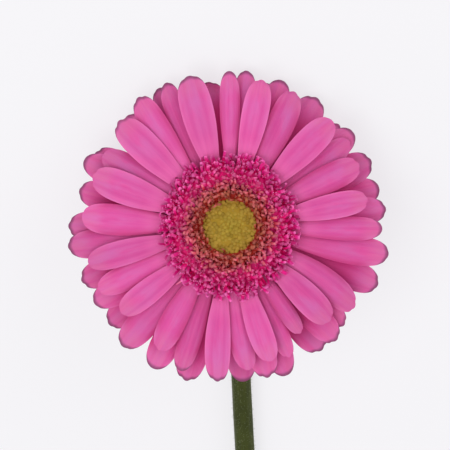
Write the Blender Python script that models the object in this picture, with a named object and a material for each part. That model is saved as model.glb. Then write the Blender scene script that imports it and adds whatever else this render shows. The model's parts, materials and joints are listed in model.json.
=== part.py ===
"""A cut gerbera daisy lying on a table, built from its real pieces.

The flower head faces up and a little forward (+Y). It leans on the tips of its lowest
rays, and the long bare stem bends away under the head and runs back along -Y to its cut
end. The origin is the middle of the flower's footprint on the table, and +Z is up.

Sizes are in millimetres in the constants and metres in the scene. The head is modelled
in its own frame: its z axis is the way the flower faces, its y axis points from the
stem's side to the far rim, and z = 0 is the plane where the rays are attached.
"""

import math
import random
from dataclasses import dataclass

import bpy
from mathutils import Matrix, Vector

MM = 0.001
GOLDEN_ANGLE = math.radians(137.50776)

# How the flower lies
HEAD_LEAN = math.radians(32.0)  # the way it faces, measured from straight up
HEAD_HEIGHT = 33.6
HEAD_X = 0.53
HEAD_Y = 227.3
GAP = 0.3  # left between two pieces that touch

# Ray florets, the long pink petals. Each row lists those that grow at one height, from the
# innermost row to the outermost: direction of the root in degrees, how many degrees the
# tip leans off it, reach from the axis and width.
RAY_TIERS = (
    (
        (11.0, 0.0, 48.0, 8.8),
        (47.0, -0.5, 50.3, 10.2),
        (76.5, 1.0, 51.2, 9.2),
        (106.3, -1.0, 53.2, 11.2),
        (137.5, -1.0, 52.3, 10.8),
        (160.8, -1.0, 49.8, 10.9),
        (193.0, 1.0, 49.8, 8.8),
        (219.0, -0.2, 47.3, 8.7),
        (262.0, 3.5, 53.0, 8.8),
        (284.0, 3.5, 48.0, 8.6),
        (318.8, -2.4, 47.0, 9.9),
    ),
    (
        (26.2, -0.5, 49.2, 9.6),
        (61.8, 2.8, 51.2, 9.6),
        (89.3, 0.7, 53.2, 7.0),
        (129.0, -3.8, 54.1, 9.5),
        (150.0, 0.0, 49.8, 9.5),
        (177.6, -1.5, 50.6, 10.7),
        (206.7, -0.5, 49.8, 8.8),
        (237.3, 3.3, 48.6, 8.9),
        (272.4, 4.5, 49.4, 8.2),
        (303.9, 0.0, 43.9, 6.0),
        (334.6, -7.0, 50.6, 10.0),
        (359.0, 0.0, 52.3, 8.2),
    ),
    (
        (33.3, 2.3, 50.6, 8.4),
        (82.6, 1.0, 53.9, 8.0),
        (117.0, -3.0, 53.9, 7.5),
        (188.0, -0.4, 55.9, 10.2),
        (228.8, -0.4, 55.3, 10.6),
        (249.8, 1.0, 52.4, 7.8),
        (295.2, -0.3, 49.4, 6.6),
        (348.2, 2.0, 55.4, 10.2),
    ),
    (
        (6.6, 0.0, 54.4, 10.0),
        (38.0, -0.5, 53.6, 10.5),
        (69.6, 0.0, 53.6, 10.0),
        (154.8, 0.0, 55.1, 10.0),
        (179.3, 0.0, 55.6, 10.6),
        (210.0, 0.0, 53.7, 10.0),
        (241.6, 0.0, 55.6, 10.4),
        (284.8, 0.0, 53.8, 10.0),
        (313.8, 0.0, 53.9, 10.0),
        (339.2, -0.8, 55.1, 10.8),
    ),
    (
        (25.2, 0.0, 54.2, 11.5),
        (55.3, 0.0, 53.9, 12.0),
        (119.5, -2.2, 53.8, 9.0),
        (166.8, 0.0, 53.6, 10.4),
        (199.6, 0.0, 54.6, 10.5),
        (253.6, 0.0, 55.6, 10.6),
        (291.2, 0.0, 55.2, 10.2),
        (319.5, 0.0, 52.4, 9.0),
    ),
    (
        (14.0, 0.0, 53.8, 10.5),
        (43.0, 0.0, 52.0, 10.0),
        (76.0, 0.0, 53.5, 10.5),
        (98.8, 0.0, 52.4, 10.5),
        (132.5, 0.0, 52.4, 10.0),
        (151.0, 0.0, 53.3, 10.0),
        (218.8, 0.0, 54.0, 10.5),
        (275.0, 0.0, 54.2, 10.5),
        (306.0, 0.0, 53.8, 11.5),
    ),
)
RAY_SEED = 38
RAY_THICK = 0.7
RAY_ROOT_RADIUS = 7.5
RAY_ROOT_Z = (1.8, -2.8)
RAY_ROOT_SLOPE = (math.radians(13.0), math.radians(2.0))
RAY_TIP_SLOPE = (math.radians(-3.0), math.radians(-22.0))
RAY_CAMBER = 0.16  # how far the side edges drop, as a share of the half width
RAY_WIDEST = 0.76  # share of the length at which a ray is widest
RAY_CLAW = 0.2  # width at the root, as a share of the widest
RAY_TIP_WIDTH = 0.78
RAY_TIP_ROUND = 0.065  # how far the corners of the tip lie back, as a share of the length
RAY_ROWS = (0.0, 0.27, 0.53, 0.77, 0.93, 1.0)  # shares of the length
RAY_COLUMNS = (-1.0, -0.5, 0.0, 0.5, 1.0)  # shares of the half width
STACK_STEP = 0.85  # height of each tier over the one below it, where they are pressed down

# Hub that carries the rays, as a turned profile of (radius, z)
HUB_RADIUS = 10.5
HUB_TOP = 3.0
HUB_BOTTOM = -3.6
HUB_PROFILE = (
    (0, HUB_BOTTOM),
    (HUB_RADIUS - 1.2, HUB_BOTTOM),
    (HUB_RADIUS, HUB_BOTTOM + 1.2),
    (HUB_RADIUS, HUB_TOP - 1.0),
    (HUB_RADIUS - 1.0, HUB_TOP),
    (0, HUB_TOP),
)
TURNED_SIDES = 24


@dataclass
class FloretField:
    """A ring of small florets in a golden spiral, on a core turned round the head's axis.

    Pairs give a value at the inner and at the outer edge of the ring. Widths and depths
    are half sizes of a floret from its root to its tip.
    """

    count: int
    seed: int
    sides: int
    core: tuple
    root_z: float
    root_radius: tuple
    bend_radius: tuple
    bend_rise: float  # height of the bend over the tip
    tip_radius: tuple
    tip_z: tuple
    widths: tuple
    depths: tuple
    wander: float


# Crown of short magenta florets round the disc
CROWN = FloretField(
    count=86,
    seed=21,
    sides=3,
    core=(
        (9.0, HUB_TOP + GAP),
        (9.8, HUB_TOP + GAP),
        (18.5, 6.0),
        (19.2, 7.0),
        (17.0, 8.0),
        (13.7, 7.8),
        (12.9, 6.1),
    ),
    root_z=6.9,
    root_radius=(15.2, 17.0),
    bend_radius=(16.3, 20.0),
    bend_rise=0.6,
    tip_radius=(17.8, 24.6),
    tip_z=(9.6, 7.6),
    widths=(1.1, 1.6, 0.8),
    depths=(0.5, 0.65, 0.35),
    wander=0.7,
)

# Open disc florets with salmon tips
DISC = FloretField(
    count=62,
    seed=5,
    sides=4,
    core=(
        (4.4, HUB_TOP + GAP),
        (8.6, HUB_TOP + GAP),
        (12.5, 6.1),
        (12.8, 8.2),
        (12.3, 8.6),
        (9.4, 7.6),
        (8.9, 6.6),
    ),
    root_z=7.0,
    root_radius=(9.9, 11.8),
    bend_radius=(9.9, 12.7),
    bend_rise=-1.2,
    tip_radius=(10.1, 15.0),
    tip_z=(9.5, 11.3),
    widths=(0.6, 0.7, 1.25),
    depths=(0.55, 0.55, 1.0),
    wander=0.5,
)

# Closed buds in the middle
BUDS = FloretField(
    count=58,
    seed=3,
    sides=4,
    core=(
        (0, HUB_TOP + GAP),
        (4.0, HUB_TOP + GAP),
        (8.4, 6.6),
        (8.0, 7.1),
        (5.6, 7.5),
        (2.8, 7.55),
        (0, 7.5),
    ),
    root_z=6.9,
    root_radius=(0.0, 7.3),
    bend_radius=(0.0, 7.3),
    bend_rise=-0.6,
    tip_radius=(0.0, 7.3),
    tip_z=(8.2, 8.0),
    widths=(1.2, 0.4),
    depths=(1.2, 0.4),
    wander=0.0,
)

# Green cup of bracts behind the rays
CUP_TOP = HUB_BOTTOM - GAP
CUP_BOTTOM = -14.0
CUP_TOP_RADIUS = 10.9
CUP_NECK_RADIUS = 4.1
CUP_STEPS = 5
BRACT_COUNT = 31
BRACT_ROOT_Z = (CUP_TOP - 2.6, CUP_BOTTOM + 1.2)
BRACT_TIP_Z = (-5.1, -8.2)
BRACT_TIP_RADIUS = (16.8, 11.3)
BRACT_SINK = 0.7  # how deep a bract's root lies in the cup
BRACT_BELLY = 1.5
BRACT_WIDTHS = (1.1, 1.5, 1.1, 0.25)
BRACT_DEPTHS = (0.4, 0.42, 0.4, 0.2)

# Stem: its neck bends from the cup down to the foot of the head, and its run goes on to the end
STEM_TOP_RADIUS = 3.6
STEM_END_RADIUS = 4.2
STEM_SIDES = 12
NECK_RINGS = 10
RUN_RINGS = 18
NECK_PULL = 17.0  # how far the neck keeps its direction at either end
NECK_FOOT = Vector((HEAD_X + 4.0, HEAD_Y - 54.0, 6.2))
RUN_START = Vector((-0.02, -1.0, -0.003))
RUN_START_PULL = 41.0
RUN_BEND = Vector((HEAD_X + 10.5, HEAD_Y - 170.0, 5.2))  # draws the run to the right
RUN_END = Vector((HEAD_X + 12.0, HEAD_Y - 500.0))
RUN_END_BACK = Vector((0.03, 1.0, 0.0))
RUN_END_PULL = 170.0
CUT_SLANT = 0.35  # how far the cut end leans, as a share of the width
SOLE = 0.12  # how deep the stem's end is pressed flat where it rests


def lerp(ends, share):
    """The value this share of the way between two ends."""
    return ends[0] + (ends[1] - ends[0]) * share


def head_matrix():
    """Carries the head's own millimetres to the scene's metres."""
    place = Matrix.Translation(Vector((HEAD_X, HEAD_Y, HEAD_HEIGHT)) * MM)
    return place @ Matrix.Rotation(-HEAD_LEAN, 4, "X") @ Matrix.Scale(MM, 4)


def world_matrix():
    """Carries millimetres on the table to the scene's metres."""
    return Matrix.Scale(MM, 4)


def height_over_table(point):
    """Height in millimetres of a point given in the head's frame."""
    return point.z * math.cos(HEAD_LEAN) - point.y * math.sin(HEAD_LEAN) + HEAD_HEIGHT


def pressed(point, level):
    """The point, lifted straight up to the level if it would lie lower than that."""
    rise = max(0.0, level - height_over_table(point))
    return point + rise * Vector((0.0, -math.sin(HEAD_LEAN), math.cos(HEAD_LEAN)))


# Meshes


def make_object(name, points, faces, matrix):
    """A mesh object with its place in its vertices."""
    mesh = bpy.data.meshes.new(name)
    mesh.from_pydata([matrix @ p for p in points], [], faces)
    mesh.update()
    obj = bpy.data.objects.new(name, mesh)
    bpy.context.scene.collection.objects.link(obj)
    return obj


def slab(over, under):
    """Points and faces of a closed thin blade between two equal grids of rows of points.

    Both faces are split into triangles alike, so a waved blade never crosses itself.
    """
    rows, columns = len(over), len(over[0])
    points = [p for row in over for p in row] + [p for row in under for p in row]
    shift = rows * columns
    faces = []
    for i in range(rows - 1):
        for j in range(columns - 1):
            a = i * columns + j
            b, c, d = a + 1, a + columns + 1, a + columns
            faces += [(a, c, b), (a, d, c)]
            faces += [(a + shift, b + shift, c + shift), (a + shift, c + shift, d + shift)]
    rim = [j for j in range(columns)]
    rim += [i * columns + columns - 1 for i in range(1, rows)]
    rim += [(rows - 1) * columns + j for j in range(columns - 2, -1, -1)]
    rim += [i * columns for i in range(rows - 2, 0, -1)]
    for a, b in zip(rim, rim[1:] + rim[:1]):
        faces += [(a, b, a + shift), (b, b + shift, a + shift)]
    return points, faces


def sweep(rings):
    """Points and faces of a closed tube through rings of points, with flat ends.

    The rings turn clockwise for an eye that looks along the tube from its last end.
    """
    sides = len(rings[0])
    points = [p for ring in rings for p in ring]
    faces = []
    for i in range(len(rings) - 1):
        for j in range(sides):
            a, b = i * sides + j, i * sides + (j + 1) % sides
            faces.append((b, a, a + sides, b + sides))
    last = len(points) - sides
    faces.append(tuple(range(sides)))
    faces.append(tuple(range(last, last + sides))[::-1])
    return points, faces


def turned(profile):
    """Points and faces of a solid turned round z from a closed profile of (radius, z).

    The profile runs anticlockwise, with the radius to the right and z up. A radius of
    zero makes one point on the axis.
    """
    points, ring_of = [], []
    sides = TURNED_SIDES
    for radius, z in profile:
        ring_of.append(len(points))
        if radius == 0:
            points.append(Vector((0, 0, z)))
            continue
        for j in range(sides):
            angle = 2 * math.pi * j / sides
            points.append(Vector((radius * math.cos(angle), radius * math.sin(angle), z)))
    faces = []
    count = len(profile)
    for i in range(count):
        k = (i + 1) % count
        low, high = profile[i][0] == 0, profile[k][0] == 0
        for j in range(sides):
            n = (j + 1) % sides
            a, b = ring_of[i] + j, ring_of[i] + n
            c, d = ring_of[k] + n, ring_of[k] + j
            if low and high:
                continue
            if low:
                faces.append((ring_of[i], c, d))
            elif high:
                faces.append((a, b, ring_of[k]))
            else:
                faces.append((a, b, c, d))
    return points, faces


def bezier(points, t):
    """A point on a Bezier curve through any number of control points."""
    while len(points) > 1:
        points = [a.lerp(b, t) for a, b in zip(points, points[1:])]
    return points[0]


def around(angle, radius, z):
    """A point at this angle and radius from the head's axis."""
    return Vector((radius * math.cos(angle), radius * math.sin(angle), z))


def floret(path, angle, widths, depths, sides):
    """Points and faces of a small horn swept along a Bezier path of (radius, z) points.

    It stands at the given angle round the head. Widths are its half widths sideways and
    depths its half thickness, from root to tip. An odd corner is on its underside.
    """
    rings = []
    aside = around(angle + math.pi / 2, 1, 0)
    controls = [around(angle, radius, z) for radius, z in path]
    last = len(widths) - 1
    for i, (width, depth) in enumerate(zip(widths, depths)):
        here = bezier(controls, i / last)
        ahead = bezier(controls, min(1.0, i / last + 0.05))
        behind = bezier(controls, max(0.0, i / last - 0.05))
        outward = aside.cross((ahead - behind).normalized())
        ring = []
        for j in range(sides):
            spot = math.pi / 2 + 2 * math.pi * j / sides
            ring.append(here + width * math.cos(spot) * aside + depth * math.sin(spot) * outward)
        rings.append(ring)
    return sweep(rings)


def fuse(name, body, repeats, matrix):
    """One closed body, made by a Boolean union of the body with all the repeats."""
    base = make_object(name, *body, matrix)
    helpers = bpy.data.collections.new(name + "_repeats")
    bpy.context.scene.collection.children.link(helpers)
    for i, shape in enumerate(repeats):
        helper = make_object(f"{name}_{i}", *shape, matrix)
        bpy.context.scene.collection.objects.unlink(helper)
        helpers.objects.link(helper)
    union = base.modifiers.new("union", "BOOLEAN")
    union.operation = "UNION"
    union.operand_type = "COLLECTION"
    union.collection = helpers
    union.solver = "MANIFOLD"
    graph = bpy.context.evaluated_depsgraph_get()
    joined = bpy.data.meshes.new_from_object(base.evaluated_get(graph))
    base.modifiers.clear()
    base.data = joined
    joined.name = name
    for helper in list(helpers.objects):
        bpy.data.objects.remove(helper)
    bpy.data.collections.remove(helpers)
    return base


# Ray florets


@dataclass
class Ray:
    """One ray floret: where it is attached and how its blade is curved."""

    angle: float
    root_z: float
    reach: float
    width: float
    root_slope: float
    tip_slope: float
    bend: float
    roll: float
    notch: float
    level: float

    @property
    def length(self):
        """Length of the arched blade whose tip comes as far out as the ray's reach."""
        turn = self.tip_slope - self.root_slope
        rise = math.sin(self.tip_slope) - math.sin(self.root_slope)
        return (self.reach - RAY_ROOT_RADIUS) * turn / rise


def all_rays():
    """Every ray of every tier, with small seeded differences in how it curves."""
    draw = random.Random(RAY_SEED)
    rays = []
    for tier, row in enumerate(RAY_TIERS):
        depth = tier / (len(RAY_TIERS) - 1)
        for direction, lean, reach, width in row:
            chord = reach - RAY_ROOT_RADIUS
            rays.append(
                Ray(
                    angle=math.radians(direction),
                    root_z=lerp(RAY_ROOT_Z, depth),
                    reach=reach,
                    width=width,
                    root_slope=lerp(RAY_ROOT_SLOPE, depth) + math.radians(draw.uniform(-0.5, 0.5)),
                    tip_slope=lerp(RAY_TIP_SLOPE, depth) + math.radians(draw.uniform(-2.5, 2.5)),
                    bend=math.radians(lean) * reach / chord + draw.uniform(-0.012, 0.012),
                    roll=math.radians(draw.uniform(-6.0, 6.0)),
                    notch=draw.uniform(0.0, 0.015),
                    level=STACK_STEP * (len(RAY_TIERS) - 1 - tier),
                )
            )
    return rays


def ray_half_width(ray, along):
    """Half the blade's width at a share of its length."""
    if along < RAY_WIDEST:
        swell = math.sin(math.pi / 2 * along / RAY_WIDEST) ** 2
        return ray.width / 2 * (RAY_CLAW + (1 - RAY_CLAW) * swell)
    taper = (along - RAY_WIDEST) / (1 - RAY_WIDEST)
    return ray.width / 2 * (1 - (1 - RAY_TIP_WIDTH) * taper**2.4)


def ray_point(ray, along, across):
    """A point of the blade's middle surface, along from 0 to 1 and across from -1 to 1."""
    lobes = math.exp(-(((abs(across) - 0.4) / 0.2) ** 2))
    rounding = RAY_TIP_ROUND * abs(across) ** 2.6 + ray.notch * lobes
    run = along * (1 - rounding * along**6)
    turn = ray.tip_slope - ray.root_slope
    slope = ray.root_slope + turn * run
    reach = RAY_ROOT_RADIUS + ray.length * (math.sin(slope) - math.sin(ray.root_slope)) / turn
    height = ray.root_z + ray.length * (math.cos(ray.root_slope) - math.cos(slope)) / turn
    outward = around(ray.angle, 1, 0)
    aside = around(ray.angle + math.pi / 2, 1, 0)
    normal = -math.sin(slope) * outward + math.cos(slope) * Vector((0, 0, 1))
    half = ray_half_width(ray, along)
    roll = ray.roll * run
    side = half * across
    drop = -RAY_CAMBER * half * across**2
    point = reach * outward + Vector((0, 0, height)) + ray.bend * ray.length * run**2 * aside
    point += (side * math.cos(roll) - drop * math.sin(roll)) * aside
    point += (side * math.sin(roll) + drop * math.cos(roll)) * normal
    return point


def ray_blade(ray):
    """The closed blade of one ray, pressed flat where it would reach into the table."""
    step = 0.02
    over, under = [], []
    for along in RAY_ROWS:
        top_row, low_row = [], []
        for across in RAY_COLUMNS:
            here = ray_point(ray, along, across)
            back = min(along, 1 - step)
            lengthwise = ray_point(ray, back + step, across) - ray_point(ray, back, across)
            left = min(across, 1 - step)
            sideways = ray_point(ray, along, left + step) - ray_point(ray, along, left)
            normal = lengthwise.cross(sideways).normalized() * RAY_THICK / 2
            low_row.append(pressed(here - normal, ray.level))
            top_row.append(pressed(here + normal, ray.level + RAY_THICK))
        over.append(top_row)
        under.append(low_row)
    return slab(over, under)


def make_rays():
    """All the rays with their roots sunk in the hub that carries them."""
    blades = [ray_blade(ray) for ray in all_rays()]
    return fuse("ray_florets", turned(HUB_PROFILE), blades, head_matrix())


# Disc


def field_spots(field, draw):
    """(place, angle, radius) of the tips, evenly spread over the ring.

    The place is 0 at the ring's inner edge and 1 at its outer edge.
    """
    inner, outer = field.tip_radius
    spots = []
    for i in range(field.count):
        share = (i + 0.5) / field.count
        radius = math.sqrt(inner**2 + (outer**2 - inner**2) * share)
        angle = i * GOLDEN_ANGLE + draw.uniform(-field.wander, field.wander) / radius
        radius += draw.uniform(-field.wander, field.wander) / 2
        spots.append(((radius - inner) / (outer - inner), angle, radius))
    return spots


def make_field(name, field):
    """The florets of one ring, fused with the core that they stand out of."""
    draw = random.Random(field.seed)
    shapes = []
    for place, angle, radius in field_spots(field, draw):
        tip_z = lerp(field.tip_z, place) + draw.uniform(-field.wander, field.wander) / 2
        path = [
            (lerp(field.root_radius, place), field.root_z),
            (lerp(field.bend_radius, place), tip_z + field.bend_rise),
            (radius, tip_z),
        ]
        shapes.append(floret(path, angle, field.widths, field.depths, field.sides))
    return fuse(name, turned(field.core), shapes, head_matrix())


# Cup of bracts


def cup_radius(z):
    """Radius of the green cup at a height between its bottom and its top."""
    share = (z - CUP_BOTTOM) / (CUP_TOP - CUP_BOTTOM)
    return lerp((CUP_NECK_RADIUS, CUP_TOP_RADIUS), math.sin(share * math.pi / 2) ** 0.85)


def make_involucre():
    """The cup under the head with its overlapping bracts, the upper ones longest."""
    walls = [lerp((CUP_BOTTOM, CUP_TOP), i / CUP_STEPS) for i in range(CUP_STEPS + 1)]
    profile = [(0, CUP_BOTTOM)] + [(cup_radius(z), z) for z in walls] + [(0, CUP_TOP)]
    shapes = []
    for i in range(BRACT_COUNT):
        share = i / (BRACT_COUNT - 1)
        root_z = lerp(BRACT_ROOT_Z, share)
        tip_z = lerp(BRACT_TIP_Z, share)
        middle_z = lerp((root_z, tip_z), 0.55) - 0.8
        path = [
            (cup_radius(root_z) - BRACT_SINK, root_z),
            (cup_radius(middle_z) + BRACT_BELLY, middle_z),
            (lerp(BRACT_TIP_RADIUS, share), tip_z),
        ]
        shapes.append(floret(path, i * GOLDEN_ANGLE, BRACT_WIDTHS, BRACT_DEPTHS, 4))
    return fuse("involucre", turned(profile), shapes, head_matrix())


# Stem


def stem_spine():
    """Bezier control points of the neck and of the long run, in millimetres on the table."""
    to_table = Matrix.Scale(1 / MM, 4) @ head_matrix()
    top = to_table @ Vector((0, 0, CUP_BOTTOM - GAP))
    down = (to_table.to_3x3() @ Vector((0, 0, -1))).normalized()
    onward = RUN_START.normalized()
    end = RUN_END.to_3d()
    end.z = STEM_END_RADIUS * math.cos(math.pi / STEM_SIDES) - SOLE
    neck = [top, top + NECK_PULL * down, NECK_FOOT - NECK_PULL * onward, NECK_FOOT]
    back = RUN_END_BACK.normalized()
    run = [NECK_FOOT, NECK_FOOT + RUN_START_PULL * onward, RUN_BEND]
    run += [end + RUN_END_PULL * back, end]
    return neck, run


def make_stem():
    """The bare stem, a tapering tube with a slanting cut at its end."""
    neck, run = stem_spine()
    spots = [(neck, i / NECK_RINGS, 0.0) for i in range(NECK_RINGS)]
    spots += [(run, i / RUN_RINGS, i / RUN_RINGS) for i in range(RUN_RINGS + 1)]
    rings = []
    for controls, t, share in spots:
        here = bezier(controls, t)
        near = min(max(t, 0.01), 0.99)
        ahead = (bezier(controls, near + 0.01) - bezier(controls, near - 0.01)).normalized()
        aside = ahead.cross(Vector((0, 0, 1))).normalized()
        above = aside.cross(ahead)
        radius = lerp((STEM_TOP_RADIUS, STEM_END_RADIUS), share)
        ring = []
        for j in range(STEM_SIDES):
            angle = 2 * math.pi * (j + 0.5) / STEM_SIDES
            spot = radius * (math.cos(angle) * aside + math.sin(angle) * above)
            if share == 1:
                spot += CUT_SLANT * spot.z * ahead
            point = here + spot
            point.z = max(point.z, 0.0)
            ring.append(point)
        rings.append(ring)
    return make_object("stem", *sweep(rings), world_matrix())


# Materials


def finish(obj, colour, roughness):
    """Gives an object its own plain material."""
    material = bpy.data.materials.new(obj.name)
    material.use_nodes = True
    shader = material.node_tree.nodes["Principled BSDF"]
    shader.inputs["Base Color"].default_value = (*colour, 1)
    shader.inputs["Roughness"].default_value = roughness
    shader.inputs["Metallic"].default_value = 0
    obj.data.materials.clear()
    obj.data.materials.append(material)
    obj.data.shade_smooth()
    obj.data.set_sharp_from_angle(angle=math.radians(50))


def main():
    """Clears the scene and builds the flower."""
    for obj in list(bpy.data.objects):
        bpy.data.objects.remove(obj)
    finish(make_stem(), (0.075, 0.11, 0.035), 0.6)
    finish(make_involucre(), (0.10, 0.16, 0.045), 0.7)
    finish(make_rays(), (0.70, 0.10, 0.35), 0.55)
    finish(make_field("crown_florets", CROWN), (0.48, 0.02, 0.14), 0.5)
    finish(make_field("disc_florets", DISC), (0.45, 0.09, 0.07), 0.5)
    finish(make_field("disc_buds", BUDS), (0.33, 0.22, 0.03), 0.6)


main()
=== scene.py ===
"""The looks of a cut gerbera daisy that lies on a pale table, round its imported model.

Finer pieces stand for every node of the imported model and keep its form: petals with
grooves and rounded tips, a crown of curled florets, open star florets, closed buds, a cup
of bracts and a ribbed, downy stem with a cut end.

Sizes are in millimetres and the finished pieces in metres. The head is built in its own
frame: its z axis is the way the flower faces, its y axis points from the stem's side to
the far rim, and z = 0 is the plane where the petals are attached.
"""

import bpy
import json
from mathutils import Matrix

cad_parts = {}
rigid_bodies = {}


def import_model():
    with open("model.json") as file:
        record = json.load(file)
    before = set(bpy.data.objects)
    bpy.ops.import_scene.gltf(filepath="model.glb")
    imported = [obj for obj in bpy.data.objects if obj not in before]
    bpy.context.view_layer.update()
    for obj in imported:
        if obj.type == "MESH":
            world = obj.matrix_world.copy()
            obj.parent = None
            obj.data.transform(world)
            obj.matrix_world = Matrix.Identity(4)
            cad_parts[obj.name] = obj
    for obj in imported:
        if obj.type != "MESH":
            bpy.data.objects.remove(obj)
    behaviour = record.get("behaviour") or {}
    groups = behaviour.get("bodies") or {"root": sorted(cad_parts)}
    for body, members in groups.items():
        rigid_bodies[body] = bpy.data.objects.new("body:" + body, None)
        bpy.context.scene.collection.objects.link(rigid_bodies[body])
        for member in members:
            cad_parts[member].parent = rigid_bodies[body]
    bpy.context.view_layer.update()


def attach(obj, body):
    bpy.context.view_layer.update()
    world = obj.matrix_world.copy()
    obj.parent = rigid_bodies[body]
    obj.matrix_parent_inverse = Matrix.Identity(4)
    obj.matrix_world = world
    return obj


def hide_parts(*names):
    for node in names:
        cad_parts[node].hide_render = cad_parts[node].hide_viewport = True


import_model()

import json
import logging
import math
import random
from collections.abc import Callable, Mapping, Sequence
from dataclasses import dataclass, field, fields
from enum import Enum
from typing import Union

import bpy
from mathutils import Matrix, Vector

log = logging.getLogger("gerbera")

Colour = tuple[float, float, float]
Pair = tuple[float, float]

MM = 0.001
GOLDEN_ANGLE = math.radians(137.50776)
BODY = "root"


# Plain geometry


def lerp(ends: Pair, share: float) -> float:
    """The value this share of the way between two ends."""
    return ends[0] + (ends[1] - ends[0]) * share


def along_list(values: Sequence[float], share: float) -> float:
    """A value read off an even list, with straight lines between its entries.

    Args:
        values: The entries, from share 0 to share 1.
        share: Where to read, from 0 to 1.

    Returns:
        The value there.
    """
    spot = share * (len(values) - 1)
    low = min(int(spot), len(values) - 2)
    return lerp((values[low], values[low + 1]), spot - low)


def bezier(controls: Sequence[Vector], share: float) -> Vector:
    """A point on a Bezier curve.

    Args:
        controls: Any number of control points.
        share: Where on the curve, from 0 to 1.

    Returns:
        The point there.
    """
    points = list(controls)
    while len(points) > 1:
        points = [a.lerp(b, share) for a, b in zip(points, points[1:])]
    return points[0]


def heading(controls: Sequence[Vector], share: float, step: float = 0.01) -> Vector:
    """The direction of a Bezier curve at a share of its way, found with a small step."""
    near = min(max(share, step), 1 - step)
    return (bezier(controls, near + step) - bezier(controls, near - step)).normalized()


def spoke(radius: float, angle: float, z: float) -> Vector:
    """A point at a radius and an angle round z, at a height."""
    return Vector((radius * math.cos(angle), radius * math.sin(angle), z))


@dataclass(frozen=True)
class Lie:
    """How the head lies over the table.

    Attributes:
        lean: Angle between straight up and the way the head faces.
        place: Middle of the plane where the petals are attached, in millimetres.
    """

    lean: float = math.radians(32.0)
    place: tuple[float, float, float] = (0.53, 227.3, 33.6)

    @property
    def matrix(self) -> Matrix:
        """Carries the head's own millimetres to the scene's metres."""
        place = Matrix.Translation(Vector(self.place) * MM)
        return place @ Matrix.Rotation(-self.lean, 4, "X") @ Matrix.Scale(MM, 4)

    @property
    def facing(self) -> Vector:
        """The way the head faces."""
        return Vector((0.0, math.sin(self.lean), math.cos(self.lean)))

    @property
    def rim_way(self) -> Vector:
        """The way from the head's middle to its far rim."""
        return Vector((0.0, math.cos(self.lean), -math.sin(self.lean)))


LIE = Lie()


@dataclass
class Shape:
    """Points and faces of closed surfaces, with named numbers kept at each point."""

    points: list[Vector] = field(default_factory=list)
    faces: list[tuple[int, ...]] = field(default_factory=list)
    marks: dict[str, list[float]] = field(default_factory=dict)

    def add(self, other: "Shape") -> "Shape":
        """Takes in another shape as it stands.

        Args:
            other: The shape to take in.

        Returns:
            This shape.
        """
        shift = len(self.points)
        for name in {*self.marks, *other.marks}:
            mine = self.marks.setdefault(name, [0.0] * shift)
            mine.extend(other.marks.get(name, [0.0] * len(other.points)))
        self.points.extend(other.points)
        self.faces.extend(tuple(i + shift for i in face) for face in other.faces)
        return self

    def moved(self, matrix: Matrix) -> "Shape":
        """A copy of the shape, carried by a matrix."""
        return Shape([matrix @ p for p in self.points], list(self.faces), dict(self.marks))

    def make_object(self, name: str, sharp: float = 50.0) -> bpy.types.Object:
        """Makes a smooth shaded object of the shape.

        Args:
            name: The object's name.
            sharp: Angle in degrees over which an edge stays sharp.

        Returns:
            The object, linked to the scene.
        """
        mesh = bpy.data.meshes.new(name)
        mesh.from_pydata(self.points, [], self.faces)
        for mark, values in self.marks.items():
            mesh.attributes.new(mark, "FLOAT", "POINT").data.foreach_set("value", values)
        mesh.shade_smooth()
        mesh.set_sharp_from_angle(angle=math.radians(sharp))
        mesh.update()
        obj = bpy.data.objects.new(name, mesh)
        bpy.context.scene.collection.objects.link(obj)
        return obj


def slab(over: Sequence[Sequence[Vector]], under: Sequence[Sequence[Vector]]) -> Shape:
    """A closed thin blade between two equal grids of points.

    Args:
        over: Rows of points on the upper side, each from the right edge to the left.
        under: The points below them.

    Returns:
        The blade, with its marks along, across and under.
    """
    rows, columns = len(over), len(over[0])
    shift = rows * columns
    faces = []
    for i in range(rows - 1):
        for j in range(columns - 1):
            a = i * columns + j
            b, c, d = a + 1, a + columns + 1, a + columns
            faces.append((a, d, c, b))
            faces.append((a + shift, b + shift, c + shift, d + shift))
    rim = list(range(columns))
    rim += [i * columns + columns - 1 for i in range(1, rows)]
    rim += [(rows - 1) * columns + j for j in range(columns - 2, -1, -1)]
    rim += [i * columns for i in range(rows - 2, 0, -1)]
    faces += [(a, b, b + shift, a + shift) for a, b in zip(rim, rim[1:] + rim[:1])]
    marks = {
        "along": [i / (rows - 1) for i in range(rows) for _ in range(columns)] * 2,
        "across": [2 * j / (columns - 1) - 1 for _ in range(rows) for j in range(columns)] * 2,
        "under": [0.0] * shift + [1.0] * shift,
    }
    return Shape([p for row in (*over, *under) for p in row], faces, marks)


def sweep(rings: Sequence[Sequence[Vector]], along: Sequence[float]) -> Shape:
    """A closed tube through rings of points, with flat ends.

    Args:
        rings: The rings, clockwise for an eye that looks along the tube from its last end.
        along: The mark that each ring gets.

    Returns:
        The tube.
    """
    sides = len(rings[0])
    faces: list[tuple[int, ...]] = []
    for i in range(len(rings) - 1):
        for j in range(sides):
            a, b = i * sides + j, i * sides + (j + 1) % sides
            faces.append((b, a, a + sides, b + sides))
    last = (len(rings) - 1) * sides
    faces.append(tuple(range(sides)))
    faces.append(tuple(range(last, last + sides))[::-1])
    marks = {"along": [value for value in along for _ in range(sides)]}
    return Shape([p for ring in rings for p in ring], faces, marks)


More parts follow.
